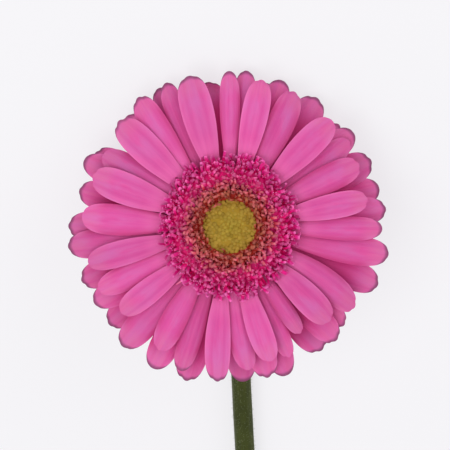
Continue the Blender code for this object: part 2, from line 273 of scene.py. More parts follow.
def turned(profile: Sequence[Pair], sides: int = 48) -> Shape:
    """A solid turned round z from a closed profile.

    Args:
        profile: Pairs of radius and z, anticlockwise with the radius to the right.
        sides: Number of sides round the axis.

    Returns:
        The solid, marked as the root of what stands on it.
    """
    points: list[Vector] = []
    rings: list[list[int]] = []
    for radius, z in profile:
        count = 1 if radius == 0 else sides
        rings.append([len(points) + j % count for j in range(sides)])
        points.extend(spoke(radius, 2 * math.pi * j / sides, z) for j in range(count))
    faces = []
    for low, high in zip(rings, rings[1:] + rings[:1]):
        for j in range(sides):
            k = (j + 1) % sides
            corners = dict.fromkeys((low[j], low[k], high[k], high[j]))
            if len(corners) > 2:
                faces.append(tuple(corners))
    return Shape(points, faces, {"along": [0.0] * len(points)})


# Small shapes that repeat. Each grows from the origin along +z, and +x is its outer side.


def horn(
    path: Sequence[Pair], widths: Sequence[float], depths: Sequence[float], sides: int, rows: int
) -> Shape:
    """A tapering horn, wide along y.

    Args:
        path: Bezier control points (x, z).
        widths: Half widths from root to tip.
        depths: Half thicknesses from root to tip.
        sides: Number of sides.
        rows: Number of rings.

    Returns:
        The horn.
    """
    controls = [Vector((x, 0.0, z)) for x, z in path]
    rings = []
    shares = [i / (rows - 1) for i in range(rows)]
    for share in shares:
        here = bezier(controls, share)
        outward = Vector((0.0, 1.0, 0.0)).cross(heading(controls, share))
        ring = []
        for j in range(sides):
            spot = math.pi / 2 + 2 * math.pi * j / sides
            aside = Vector((0.0, along_list(widths, share) * math.cos(spot), 0.0))
            ring.append(here + aside + along_list(depths, share) * math.sin(spot) * outward)
        rings.append(ring)
    return sweep(rings, shares)


def strap(
    path: Sequence[Pair], widths: Sequence[float], gutter: float, thick: float, rows: int
) -> Shape:
    """A thin curved tongue, wide along y, that grows up and curls to its outer side.

    Args:
        path: Bezier control points (x, z).
        widths: Half widths from root to tip.
        gutter: How far its edges rise, as a share of the half width.
        thick: Thickness.
        rows: Number of rows of points.

    Returns:
        The tongue.
    """
    controls = [Vector((x, 0.0, z)) for x, z in path]
    over, under = [], []
    for i in range(rows):
        share = i / (rows - 1)
        ahead = heading(controls, share)
        inner = Vector((-ahead.z, 0.0, ahead.x))
        half = along_list(widths, share)
        row = []
        for across in (-1.0, 0.0, 1.0):
            rise = gutter * half * across**2
            row.append(bezier(controls, share) + Vector((0.0, half * across, 0.0)) + rise * inner)
        over.append([p + inner * thick / 2 for p in row])
        under.append([p - inner * thick / 2 for p in row])
    return slab(over, under)


def star(lobes: Sequence[float], tube: float, mouth: float, height: float) -> Shape:
    """An open tubular floret whose mouth splits into lobes that curl back.

    Args:
        lobes: How far out each lobe reaches.
        tube: Radius of the tube.
        mouth: Radius at the notches between the lobes.
        height: Height of the mouth.

    Returns:
        The floret.
    """
    sides = 2 * len(lobes)
    # Mark along, share of a lobe's reach, radius at a notch, and heights of lobe and notch
    profile = (
        (0.0, 0.0, tube * 0.8, -height, -height),
        (0.4, 0.0, tube, -0.45 * height, -0.45 * height),
        (0.7, 0.25, mouth * 0.85, -0.28, -0.3),
        (1.0, 1.0, mouth, -0.16, -0.02),
        (0.95, 0.8, mouth * 0.95, 0.04, 0.05),
        (0.6, 0.2, mouth * 0.72, 0.0, 0.0),
        (0.05, 0.0, tube * 0.55, -0.5, -0.5),
    )
    rings = []
    for _, reach, notch, rise, dip in profile:
        ring = []
        for j in range(sides):
            lobed = j % 2 == 0
            radius = notch + (lobes[j // 2] - notch) * reach if lobed else notch
            z = height + (rise if lobed else dip)
            ring.append(spoke(radius, -2 * math.pi * j / sides, z))
        rings.append(ring)
    return sweep(rings, [row[0] for row in profile])


def bud(radius: float, height: float, pinch: float, sides: int = 10) -> Shape:
    """A closed bud with rounded lobes.

    Args:
        radius: Radius at its belly.
        height: Height of its top.
        pinch: Share by which the seams between its lobes lie in.
        sides: Number of its lobes and seams.

    Returns:
        The bud.
    """
    outline = ((0.72, 0.0), (1.0, 0.45), (0.96, 0.72), (0.66, 0.92), (0.2, 1.0))
    rings = []
    for share, rise in outline:
        ring = []
        for j in range(sides):
            reach = radius * share * (1 - pinch * (j % 2))
            ring.append(spoke(reach, -2 * math.pi * j / sides, height * rise))
        rings.append(ring)
    return sweep(rings, [rise for _, rise in outline])


# Node trees


def maths_method(operation: str, swapped: bool = False) -> Callable[["Term", "Plug"], "Term"]:
    """Makes one of Term's operators.

    Args:
        operation: What its maths node does.
        swapped: Whether the other value goes in first.

    Returns:
        The operator.
    """

    def method(term: "Term", other: "Plug") -> "Term":
        """Adds the node and returns its output."""
        return term.graph.maths(operation, *((other, term) if swapped else (term, other)))

    return method


@dataclass(frozen=True)
class Term:
    """A socket that can stand in a formula: each operation adds a node to its tree."""

    graph: "Graph"
    socket: bpy.types.NodeSocket

    __add__ = __radd__ = maths_method("ADD")
    __sub__ = maths_method("SUBTRACT")
    __rsub__ = maths_method("SUBTRACT", swapped=True)
    __mul__ = __rmul__ = maths_method("MULTIPLY")
    __truediv__ = maths_method("DIVIDE")
    __rtruediv__ = maths_method("DIVIDE", swapped=True)
    __pow__ = maths_method("POWER")

    def other(self, name: str) -> "Term":
        """Another output of the same node."""
        return Term(self.graph, self.socket.node.outputs[name])


Plug = Union[Term, float, int, str, bool, tuple, bpy.types.ID, None]

# Sockets that go by number, because their names repeat for each type of data
NUMBER_ENDS = (2, 3)
COLOUR_ENDS = (6, 7)
COLOUR_OUT = 2
RANDOM_NUMBER_OUT = 1


class Graph:
    """A node tree, with short ways to add nodes to it and link them."""

    def __init__(self, tree: bpy.types.NodeTree) -> None:
        """Wraps a tree and empties it."""
        self.tree = tree
        tree.nodes.clear()

    def feed(self, node: bpy.types.Node, plugs: Mapping[str | int, Plug]) -> None:
        """Links or sets a node's inputs.

        Args:
            node: The node.
            plugs: What goes into its inputs, by their name or number.
        """
        for key, value in plugs.items():
            if isinstance(value, Term):
                self.tree.links.new(value.socket, node.inputs[key])
            else:
                node.inputs[key].default_value = value

    def add(
        self, kind: str, plugs: Mapping[str | int, Plug], out: str | int = 0, **settings: object
    ) -> Term:
        """Adds a node.

        Args:
            kind: The node's type.
            plugs: What goes into its inputs, by their name or number.
            out: The output that is returned.
            **settings: The node's own settings.

        Returns:
            The output, or the first input of a node that has no output.
        """
        node = self.tree.nodes.new(kind)
        for name, value in settings.items():
            setattr(node, name, value)
        self.feed(node, plugs)
        return Term(self, node.outputs[out] if node.outputs else node.inputs[0])

    def maths(self, operation: str, *values: Plug) -> Term:
        """Adds a maths node and returns its output."""
        return self.add("ShaderNodeMath", dict(enumerate(values)), operation=operation)

    def sin(self, angle: Plug) -> Term:
        """Sine."""
        return self.maths("SINE", angle)

    def cos(self, angle: Plug) -> Term:
        """Cosine."""
        return self.maths("COSINE", angle)

    def size(self, value: Plug) -> Term:
        """Absolute value."""
        return self.maths("ABSOLUTE", value)

    def most(self, value: Plug, other: Plug) -> Term:
        """The greater of two values."""
        return self.maths("MAXIMUM", value, other)

    def bell(self, value: Term, middle: float, width: float) -> Term:
        """A bell curve of height 1 round a middle value."""
        return self.maths("EXPONENT", ((value - middle) / width) ** 2 * -1.0)

    def step(self, value: Plug, start: float, end: float) -> Term:
        """A smooth step that rises from 0 at start to 1 at end."""
        plugs = dict(enumerate((value, start, end, 0.0, 1.0)))
        return self.add("ShaderNodeMapRange", plugs, interpolation_type="SMOOTHSTEP")

    def blend(self, low: Plug, high: Plug, share: Plug) -> Term:
        """The value this share of the way from low to high."""
        ends = dict(zip(NUMBER_ENDS, (low, high)))
        return self.add("ShaderNodeMix", {"Factor": share, **ends}, data_type="FLOAT")

    def vector(self, x: Plug, y: Plug, z: Plug) -> Term:
        """A vector of three values."""
        return self.add("ShaderNodeCombineXYZ", dict(enumerate((x, y, z))))

    def turn(self, x: Plug, y: Plug, z: Plug) -> Term:
        """A rotation by three angles."""
        return self.add("FunctionNodeEulerToRotation", {0: self.vector(x, y, z)})

    def turn_within(self, first: Term, then: Term) -> Term:
        """A rotation that is turned again round its own axes."""
        return self.add("FunctionNodeRotateRotation", {0: first, 1: then}, rotation_space="LOCAL")


# What a tree's inputs and outputs take, by their names: all others take a number
SOCKET_KINDS = {
    "geometry": "Geometry",
    "finish": "Material",
    "shapes": "Collection",
    "blank": "Object",
    "hair": "Object",
    "count": "Int",
    "seed": "Int",
    "place": "Vector",
    "vector": "Vector",
    "colour": "Color",
}


def add_sockets(tree: bpy.types.NodeTree, way: str, names: Sequence[str]) -> None:
    """Gives a tree its named inputs or outputs.

    Args:
        tree: The tree.
        way: INPUT or OUTPUT.
        names: The sockets' names.
    """
    for name in names:
        kind = "NodeSocket" + SOCKET_KINDS.get(name, "Float")
        tree.interface.new_socket(name, in_out=way, socket_type=kind)


class GeometryTree:
    """A geometry node tree with named inputs, used as a modifier and then made a mesh."""

    name = "tree"
    inputs: Sequence[str] = ()

    def __init__(self) -> None:
        """Builds the tree."""
        self.tree = bpy.data.node_groups.new(self.name, "GeometryNodeTree")
        add_sockets(self.tree, "INPUT", ("geometry", *self.inputs, "finish"))
        add_sockets(self.tree, "OUTPUT", ("geometry",))
        self.graph = Graph(self.tree)
        self.entry = self.tree.nodes.new("NodeGroupInput")
        plugs = {"Geometry": self.grow(), "Material": self.given("finish")}
        self.graph.add("NodeGroupOutput", {0: self.graph.add("GeometryNodeSetMaterial", plugs)})

    def given(self, name: str) -> Term:
        """The tree's input of this name."""
        return Term(self.graph, self.entry.outputs[name])

    def mark(self, name: str) -> Term:
        """The number kept under this name at each point."""
        return self.graph.add("GeometryNodeInputNamedAttribute", {"Name": name})

    def chance(self, low: Plug, high: Plug, salt: int) -> Term:
        """A seeded random number for each point.

        Args:
            low: The least it may be.
            high: The most it may be.
            salt: Sets it apart from the tree's other random numbers.

        Returns:
            The number.
        """
        plugs = {**dict(zip(NUMBER_ENDS, (low, high))), "Seed": self.given("seed") + float(salt)}
        return self.graph.add("FunctionNodeRandomValue", plugs, out=RANDOM_NUMBER_OUT)

    def either_way(self, reach: Plug, salt: int) -> Term:
        """A seeded random number for each point, up to reach on either side of 0."""
        return self.chance(-1.0, 1.0, salt) * reach

    def instances(self, points: Term, shape: Term, **plugs: Plug) -> Term:
        """Puts a shape at every point, as real geometry.

        Args:
            points: The points.
            shape: The shape, or several to pick from.
            **plugs: What goes into the node's other inputs, with _ for a space.

        Returns:
            The geometry.
        """
        named = {name.replace("_", " "): value for name, value in plugs.items()}
        placed = self.graph.add(
            "GeometryNodeInstanceOnPoints", {"Points": points, "Instance": shape, **named}
        )
        return self.graph.add("GeometryNodeRealizeInstances", {0: placed})

    def grow(self) -> Term:
        """Builds the tree's geometry and returns it, with its instances realised."""
        raise NotImplementedError

    def apply(self, obj: bpy.types.Object, values: Mapping[str, Plug]) -> bpy.types.Object:
        """Runs the tree on an object and keeps the result as its plain mesh.

        Args:
            obj: The object whose mesh goes into the tree.
            values: What goes into the tree's other inputs, by name. A name that the tree
                hasn't got is passed over.

        Returns:
            The same object.
        """
        modifier = obj.modifiers.new(self.name, "NODES")
        modifier.node_group = self.tree
        for item in self.tree.interface.items_tree:
            if item.in_out == "INPUT" and item.name in values:
                modifier[item.identifier] = values[item.name]
        bpy.context.view_layer.update()
        graph = bpy.context.evaluated_depsgraph_get()
        mesh = bpy.data.meshes.new_from_object(obj.evaluated_get(graph))
        obj.modifiers.clear()
        obj.data = mesh
        mesh.name = obj.name
        return obj


class SpiralTree(GeometryTree):
    """Small shapes in a golden spiral round the head's axis, from an inner to an outer ring.

    The inputs have the names of the fields of SpiralRing, with a pair split into an inner
    and an outer value.
    """

    name = "golden_spiral"
    inputs = (
        "shapes", "count", "seed", "spread", "twist",
        "inner_radius", "outer_radius", "radius_bulge", "wander",
        "inner_height", "outer_height", "height_bulge",
        "inner_lean", "outer_lean", "lean_wander",
        "inner_size", "outer_size", "size_wander",
    )
    # Range of the random number that picks a shape
    picks = 1000.0

    def between(self, name: str, place: Term) -> Term:
        """A size at a place between the inner and the outer ring."""
        return self.graph.blend(self.given("inner_" + name), self.given("outer_" + name), place)

    def spots(self) -> tuple[Term, Term, Term]:
        """Where the shapes stand.

        Returns:
            The points, with each one's place from inner to outer and its angle.
        """
        graph = self.graph
        index = graph.add("GeometryNodeInputIndex", {})
        share = (index + 0.5) / self.given("count")
        spread, wander = self.given("spread"), self.given("wander")
        inner, outer = self.given("inner_radius"), self.given("outer_radius")
        radius = graph.blend(inner**spread, outer**spread, share) ** (1.0 / spread)
        angle = index * GOLDEN_ANGLE + self.either_way(wander, 1) / radius
        place = (radius - inner) / (outer - inner)
        belly = place * (1.0 - place) * 4.0
        reach = radius + self.chance(-0.5, 0.5, 2) * wander + self.given("radius_bulge") * belly
        height = self.between("height", place) + self.given("height_bulge") * belly
        where = graph.vector(reach * graph.cos(angle), reach * graph.sin(angle), height)
        points = graph.add("GeometryNodePoints", {"Count": self.given("count"), "Position": where})
        return points, place, angle

    def keep(self, points: Term, marks: Mapping[str, Term]) -> Term:
        """Keeps named numbers on points.

        Args:
            points: The points.
            marks: The numbers, by name.

        Returns:
            The points that carry them.
        """
        for name, value in marks.items():
            plugs = {"Geometry": points, "Name": name, "Value": value}
            points = self.graph.add(
                "GeometryNodeStoreNamedAttribute", plugs, data_type="FLOAT", domain="POINT"
            )
        return points

    def grow(self) -> Term:
        """The input mesh with a shape at every spot, leaning outwards.

        Returns:
            The geometry.
        """
        graph = self.graph
        points, place, angle = self.spots()
        lean_wander = self.given("lean_wander")
        lean = self.between("lean", place) + self.either_way(lean_wander, 3)
        askew, twist = self.either_way(lean_wander, 4), self.either_way(self.given("twist"), 5)
        size = self.either_way(self.given("size_wander"), 6) + 1.0
        size = self.between("size", place) * size
        shapes = graph.add(
            "GeometryNodeCollectionInfo",
            {"Collection": self.given("shapes"), "Separate Children": True, "Reset Children": True},
        )
        real = self.instances(
            self.keep(points, {"place": place, "tint": self.chance(0.0, 1.0, 7)}),
            shapes,
            Pick_Instance=True,
            Instance_Index=graph.maths("FLOOR", self.chance(0.0, self.picks, 8)),
            Rotation=graph.turn_within(graph.turn(0.0, lean, angle), graph.turn(askew, 0.0, twist)),
            Scale=graph.vector(size, size, size),
        )
        joined = graph.add("GeometryNodeJoinGeometry", {0: real})
        graph.feed(joined.socket.node, {0: self.given("geometry")})
        return joined


# Places of a petal's veins across its blade, and the range over which its tint shifts them
VEIN_SHIFT = 0.16
SIDE_VEINS = (-0.52, 0.5)
MIDRIB = -0.02


def side_veins(graph: Graph, across: Term, tint: Term, width: float) -> tuple[Term, Term]:
    """Where the two veins run on either side of a petal's midrib.

    Args:
        graph: The tree that the nodes go into.
        across: The place across the blade, from -1 to 1.
        tint: The petal's own random number.
        width: The veins' width.

    Returns:
        The place across from the petal's shifted middle, and a mask of the two veins.
    """
    shifted = across - (tint * VEIN_SHIFT - VEIN_SHIFT / 2)
    left, right = (graph.bell(shifted, middle, width) for middle in SIDE_VEINS)
    return shifted, left + right


class PetalTree(GeometryTree):
    """One shaped blade for every vertex that goes in, from a flat blank.

    Each vertex keeps its petal's own numbers, under the names of the fields of Petal. The
    inputs have the names of the fields of Petals.
    """

    name = "petal_blades"
    inputs = (
        "blank", "root_radius", "camber", "widest", "claw", "tip_width", "tip_round",
        "thickness", "groove", "wave", "lean", "place",
    )
    # The grooves over the veins: widths across, depth of the middle one, where they deepen
    groove_width = 0.12
    midrib_width = 0.1
    midrib_share = 0.7
    groove_at = (0.1, 0.4)
    # The edge's waves: their number, where they start, how strong they are on the calmer side
    waves = 9.0
    wave_start = 17.0
    calm_side = 0.4
    # The outline: how late the tip narrows and rounds off, and place and width of its lobes
    taper_power = 2.4
    rounding_power = 2.6
    rounding_onset = 6.0
    lobe = (0.4, 0.2)
    # How much thinner the blade is at its edges
    edge_thinning = 0.3

    def relief(self, along: Term, across: Term) -> Term:
        """Height of the grooves and the waved edges over the smooth blade.

        Args:
            along: The place along the blade.
            across: The place across it.

        Returns:
            The height.
        """
        graph = self.graph
        tint = self.mark("tint")
        shifted, veins = side_veins(graph, across, tint, self.groove_width)
        veins = veins + graph.bell(shifted, MIDRIB, self.midrib_width) * self.midrib_share
        fade = graph.step(along, *self.groove_at)
        swing = along * (tint * self.waves + self.waves) + self.mark("angle") * self.wave_start
        edge = graph.size(across) ** 3.0 * graph.sin(swing) * along
        side = graph.maths("SIGN", across) * 0.5 + 0.5
        wave = self.given("wave") * edge * graph.blend(self.calm_side, 1.0, side)
        return wave - veins * fade * self.given("groove")

    def half_width(self, along: Term) -> Term:
        """Half the blade's width, from the narrow claw over the widest place to the tip.

        Args:
            along: The place along the blade.

        Returns:
            The half width.
        """
        graph = self.graph
        widest, claw = self.given("widest"), self.given("claw")
        swell = graph.sin(graph.maths("MINIMUM", along / widest, 1.0) * (math.pi / 2)) ** 2.0
        taper = graph.most((along - widest) / (1.0 - widest), 0.0) ** self.taper_power
        half = claw + (1.0 - claw) * swell - (1.0 - self.given("tip_width")) * taper
        return half * self.mark("width") * 0.5

    def place_point(self) -> Term:
        """Where each point of a blank goes.

        The blade's spine is an arc that turns evenly from the root's slope to the tip's.

        Returns:
            The point's place in the head's frame.
        """
        graph = self.graph
        along, across = self.mark("along"), self.mark("across")
        root, tip = self.mark("root_slope"), self.mark("tip_slope")
        start = self.given("root_radius")
        off_middle = graph.size(across)
        rounding = self.given("tip_round") * off_middle**self.rounding_power
        rounding = rounding + self.mark("notch") * graph.bell(off_middle, *self.lobe)
        run = along * (1.0 - rounding * along**self.rounding_onset)
        turn = tip - root
        slope = root + turn * run
        length = (self.mark("reach") - start) * turn / (graph.sin(tip) - graph.sin(root))
        radius = start + length * (graph.sin(slope) - graph.sin(root)) / turn
        height = self.mark("root_z") + length * (graph.cos(root) - graph.cos(slope)) / turn
        half, camber = self.half_width(along), self.given("camber")
        thin = self.given("thickness") * (0.5 - off_middle**4.0 * self.edge_thinning)
        thin = thin * (1.0 - 2.0 * self.mark("under"))
        spine = graph.maths("SQRT", (across * camber * 2.0) ** 2.0 + 1.0)
        side = half * across + thin * across * camber * 2.0 / spine
        lift = thin / spine - half * camber * across**2.0 + self.relief(along, across)
        roll = self.mark("roll") * run
        over = side * graph.sin(roll) + lift * graph.cos(roll)
        aside = self.mark("bend") * length * run**2.0
        aside = aside + side * graph.cos(roll) - lift * graph.sin(roll)
        outward = radius - over * graph.sin(slope)
        angle = self.mark("angle")
        return graph.vector(
            outward * graph.cos(angle) - aside * graph.sin(angle),
            outward * graph.sin(angle) + aside * graph.cos(angle),
            height + over * graph.cos(slope),
        )

    def moved(self, geometry: Term, where: Term) -> Term:
        """The geometry with each of its points moved to a place."""
        plugs = {"Geometry": geometry, "Position": where}
        return self.graph.add("GeometryNodeSetPosition", plugs)

    def grow(self) -> Term:
        """The shaped blades over the table, pressed flat where they would reach into it.

        Returns:
            The geometry, in metres.
        """
        graph = self.graph
        blank = graph.add("GeometryNodeObjectInfo", {"Object": self.given("blank")}, out="Geometry")
        shaped = self.moved(self.instances(self.given("geometry"), blank), self.place_point())
        tilt = graph.vector(self.given("lean") * -1.0, 0.0, 0.0)
        laid = graph.add(
            "GeometryNodeTransform",
            {"Geometry": shaped, "Translation": self.given("place"), "Rotation": tilt},
        )
        here = graph.add("ShaderNodeSeparateXYZ", {0: graph.add("GeometryNodeInputPosition", {})})
        level = self.mark("level") + self.given("thickness") * (1.0 - self.mark("under"))
        lowest = graph.most(here.other("Z"), level)
        pressed = self.moved(laid, graph.vector(here.other("X"), here.other("Y"), lowest))
        return graph.add("GeometryNodeTransform", {"Geometry": pressed, "Scale": (MM, MM, MM)})


class DownTree(GeometryTree):
    """Fine hairs over a surface, which isn't kept.

    The inputs have the names of the fields of Down.
    """

    name = "down"
    inputs = ("hair", "seed", "density", "shortest", "longest", "slant", "lowest")

    def grow(self) -> Term:
        """Hairs at seeded spots, slanting this way and that, clear of the table.

        Returns:
            The geometry.
        """
        graph = self.graph
        plugs = {name.title(): self.given(name) for name in ("density", "seed")}
        scattered = graph.add(
            "GeometryNodeDistributePointsOnFaces",
            {"Mesh": self.given("geometry"), **plugs},
            distribute_method="RANDOM",
        )
        here = graph.add("ShaderNodeSeparateXYZ", {0: graph.add("GeometryNodeInputPosition", {})})
        low = graph.maths("LESS_THAN", here.other("Z"), self.given("lowest"))
        clear = graph.add("GeometryNodeDeleteGeometry", {0: scattered, 1: low}, domain="POINT")
        slant = self.given("slant")
        tilt = graph.turn(self.either_way(slant, 1), self.either_way(slant, 2), 0.0)
        hair = graph.add("GeometryNodeObjectInfo", {"Object": self.given("hair")}, out="Geometry")
        length = self.chance(self.given("shortest"), self.given("longest"), 3)
        return self.instances(
            clear,
            hair,
            Rotation=graph.turn_within(scattered.other("Rotation"), tilt),
            Scale=graph.vector(MM, MM, length * MM),
        )


# Shader groups, each used by several finishes

# How far apart in the noise two petals' lines are drawn from
NOISE_SHIFT = 31.0


class ShaderGroup(Enum):
    """Surface effects that several finishes share: name, inputs and output."""

    STREAKS = ("streaks", ("along", "across", "tint", "lines", "breaks"), "streak")
    MOTTLE = ("mottle", ("vector", "scale"), "mottle")
    SHADE = ("shade", ("colour", "tint", "amount"), "colour")


def streaks(graph: Graph, given: Term) -> Term:
    """Fine lines that run along a blade or a stem.

    Args:
        graph: The group's tree.
        given: Its inputs.

    Returns:
        0 in a line and 1 between the lines.
    """
    spot = graph.vector(
        given.other("across") * given.other("lines"),
        given.other("along") * given.other("breaks"),
        given.other("tint") * NOISE_SHIFT,
    )
    plugs = {"Vector": spot, "Scale": 1.0, "Detail": 2.0, "Roughness": 0.55}
    return graph.step(graph.add("ShaderNodeTexNoise", plugs), 0.3, 0.7)


def mottle(graph: Graph, given: Term) -> Term:
    """Soft cloudy unevenness from 0 to 1 over a surface."""
    plugs = {"Vector": given.other("vector"), "Scale": given.other("scale"), "Detail": 3.0}
    return graph.step(graph.add("ShaderNodeTexNoise", plugs), 0.25, 0.75)


def shade(graph: Graph, given: Term) -> Term:
    """A colour made a little lighter or darker, as one petal is beside another."""
    value = (given.other("tint") - 0.5) * given.other("amount") + 1.0
    return graph.add("ShaderNodeHueSaturation", {"Value": value, "Color": given.other("colour")})


def shader_group(kind: ShaderGroup) -> bpy.types.NodeTree:
    """Finds one of the shared effects, or builds it the first time.

    Args:
        kind: The effect.

    Returns:
        Its node tree.
    """
    name, inputs, output = kind.value
    tree = bpy.data.node_groups.get(name)
    if tree is None:
        tree = bpy.data.node_groups.new(name, "ShaderNodeTree")
        add_sockets(tree, "INPUT", inputs)
        add_sockets(tree, "OUTPUT", (output,))
        builders = {
            ShaderGroup.STREAKS: streaks,
            ShaderGroup.MOTTLE: mottle,
            ShaderGroup.SHADE: shade,
        }
        graph = Graph(tree)
        given = graph.add("NodeGroupInput", {})
        graph.add("NodeGroupOutput", {0: builders[kind](graph, given)})
    return tree


# Finishes


class Paint(Graph):
    """The node tree of a material round one Principled shader."""

    def __init__(self, name: str, roughness: float) -> None:
        """Makes the material.

        Args:
            name: The material's name.
            roughness: The shader's roughness.
        """
        self.material = bpy.data.materials.new(name)
        self.material.use_nodes = True
        super().__init__(self.material.node_tree)
        surface = self.add("ShaderNodeBsdfPrincipled", {"Roughness": roughness})
        self.add("ShaderNodeOutputMaterial", {"Surface": surface})
        self.shader = surface.socket.node

    def marks(self, *names: str) -> list[Term]:
        """Numbers kept at each point of the mesh."""
        kind = "ShaderNodeAttribute"
        return [self.add(kind, {}, out="Fac", attribute_name=name) for name in names]

    def effect(self, kind: ShaderGroup, **plugs: Plug) -> Term:
        """Places a shared effect and returns its output."""
        return self.add("ShaderNodeGroup", plugs, node_tree=shader_group(kind))

    def mottle(self, scale: float) -> Term:
        """Cloudy unevenness over the object, with so many patches in a metre."""
        where = self.add("ShaderNodeTexCoord", {}, out="Object")
        return self.effect(ShaderGroup.MOTTLE, vector=where, scale=scale)

    def mix(self, low: Plug, high: Plug, share: Plug) -> Term:
        """Mixes two colours.

        Args:
            low: The colour where the share is 0.
            high: The colour where it is 1.
            share: The share.

        Returns:
            The mixed colour.
        """
        plugs: dict[str | int, Plug] = {"Factor": share}
        for key, end in zip(COLOUR_ENDS, (low, high)):
            plugs[key] = (*end, 1.0) if isinstance(end, tuple) else end
        return self.add("ShaderNodeMix", plugs, out=COLOUR_OUT, data_type="RGBA")

    def coat(self, colour: Term, *coats: tuple[Plug, Plug]) -> Term:
        """Lays colours over a colour, one after the other.

        Args:
            colour: The colour below.
            *coats: Each colour with the share that it covers.

        Returns:
            The colour that shows.
        """
        for over, share in coats:
            colour = self.mix(colour, over, share)
        return colour

    def bump(self, height: Term, strength: float, distance: float) -> Term:
        """A normal that stands up by a height."""
        plugs = {"Height": height, "Strength": strength, "Distance": distance}
        return self.add("ShaderNodeBump", plugs)

    def dress(self, **sockets: Plug) -> bpy.types.Material:
        """Sets or links the shader's own sockets, named with _ for a space.

        Args:
            **sockets: What goes into them.

        Returns:
            The finished material.
        """
        self.feed(self.shader, {name.replace("_", " "): value for name, value in sockets.items()})
        return self.material


class Finish:
    """Base of the finishes, each of which makes one material."""

    def make(self) -> bpy.types.Material:
        """Builds the material."""
        raise NotImplementedError


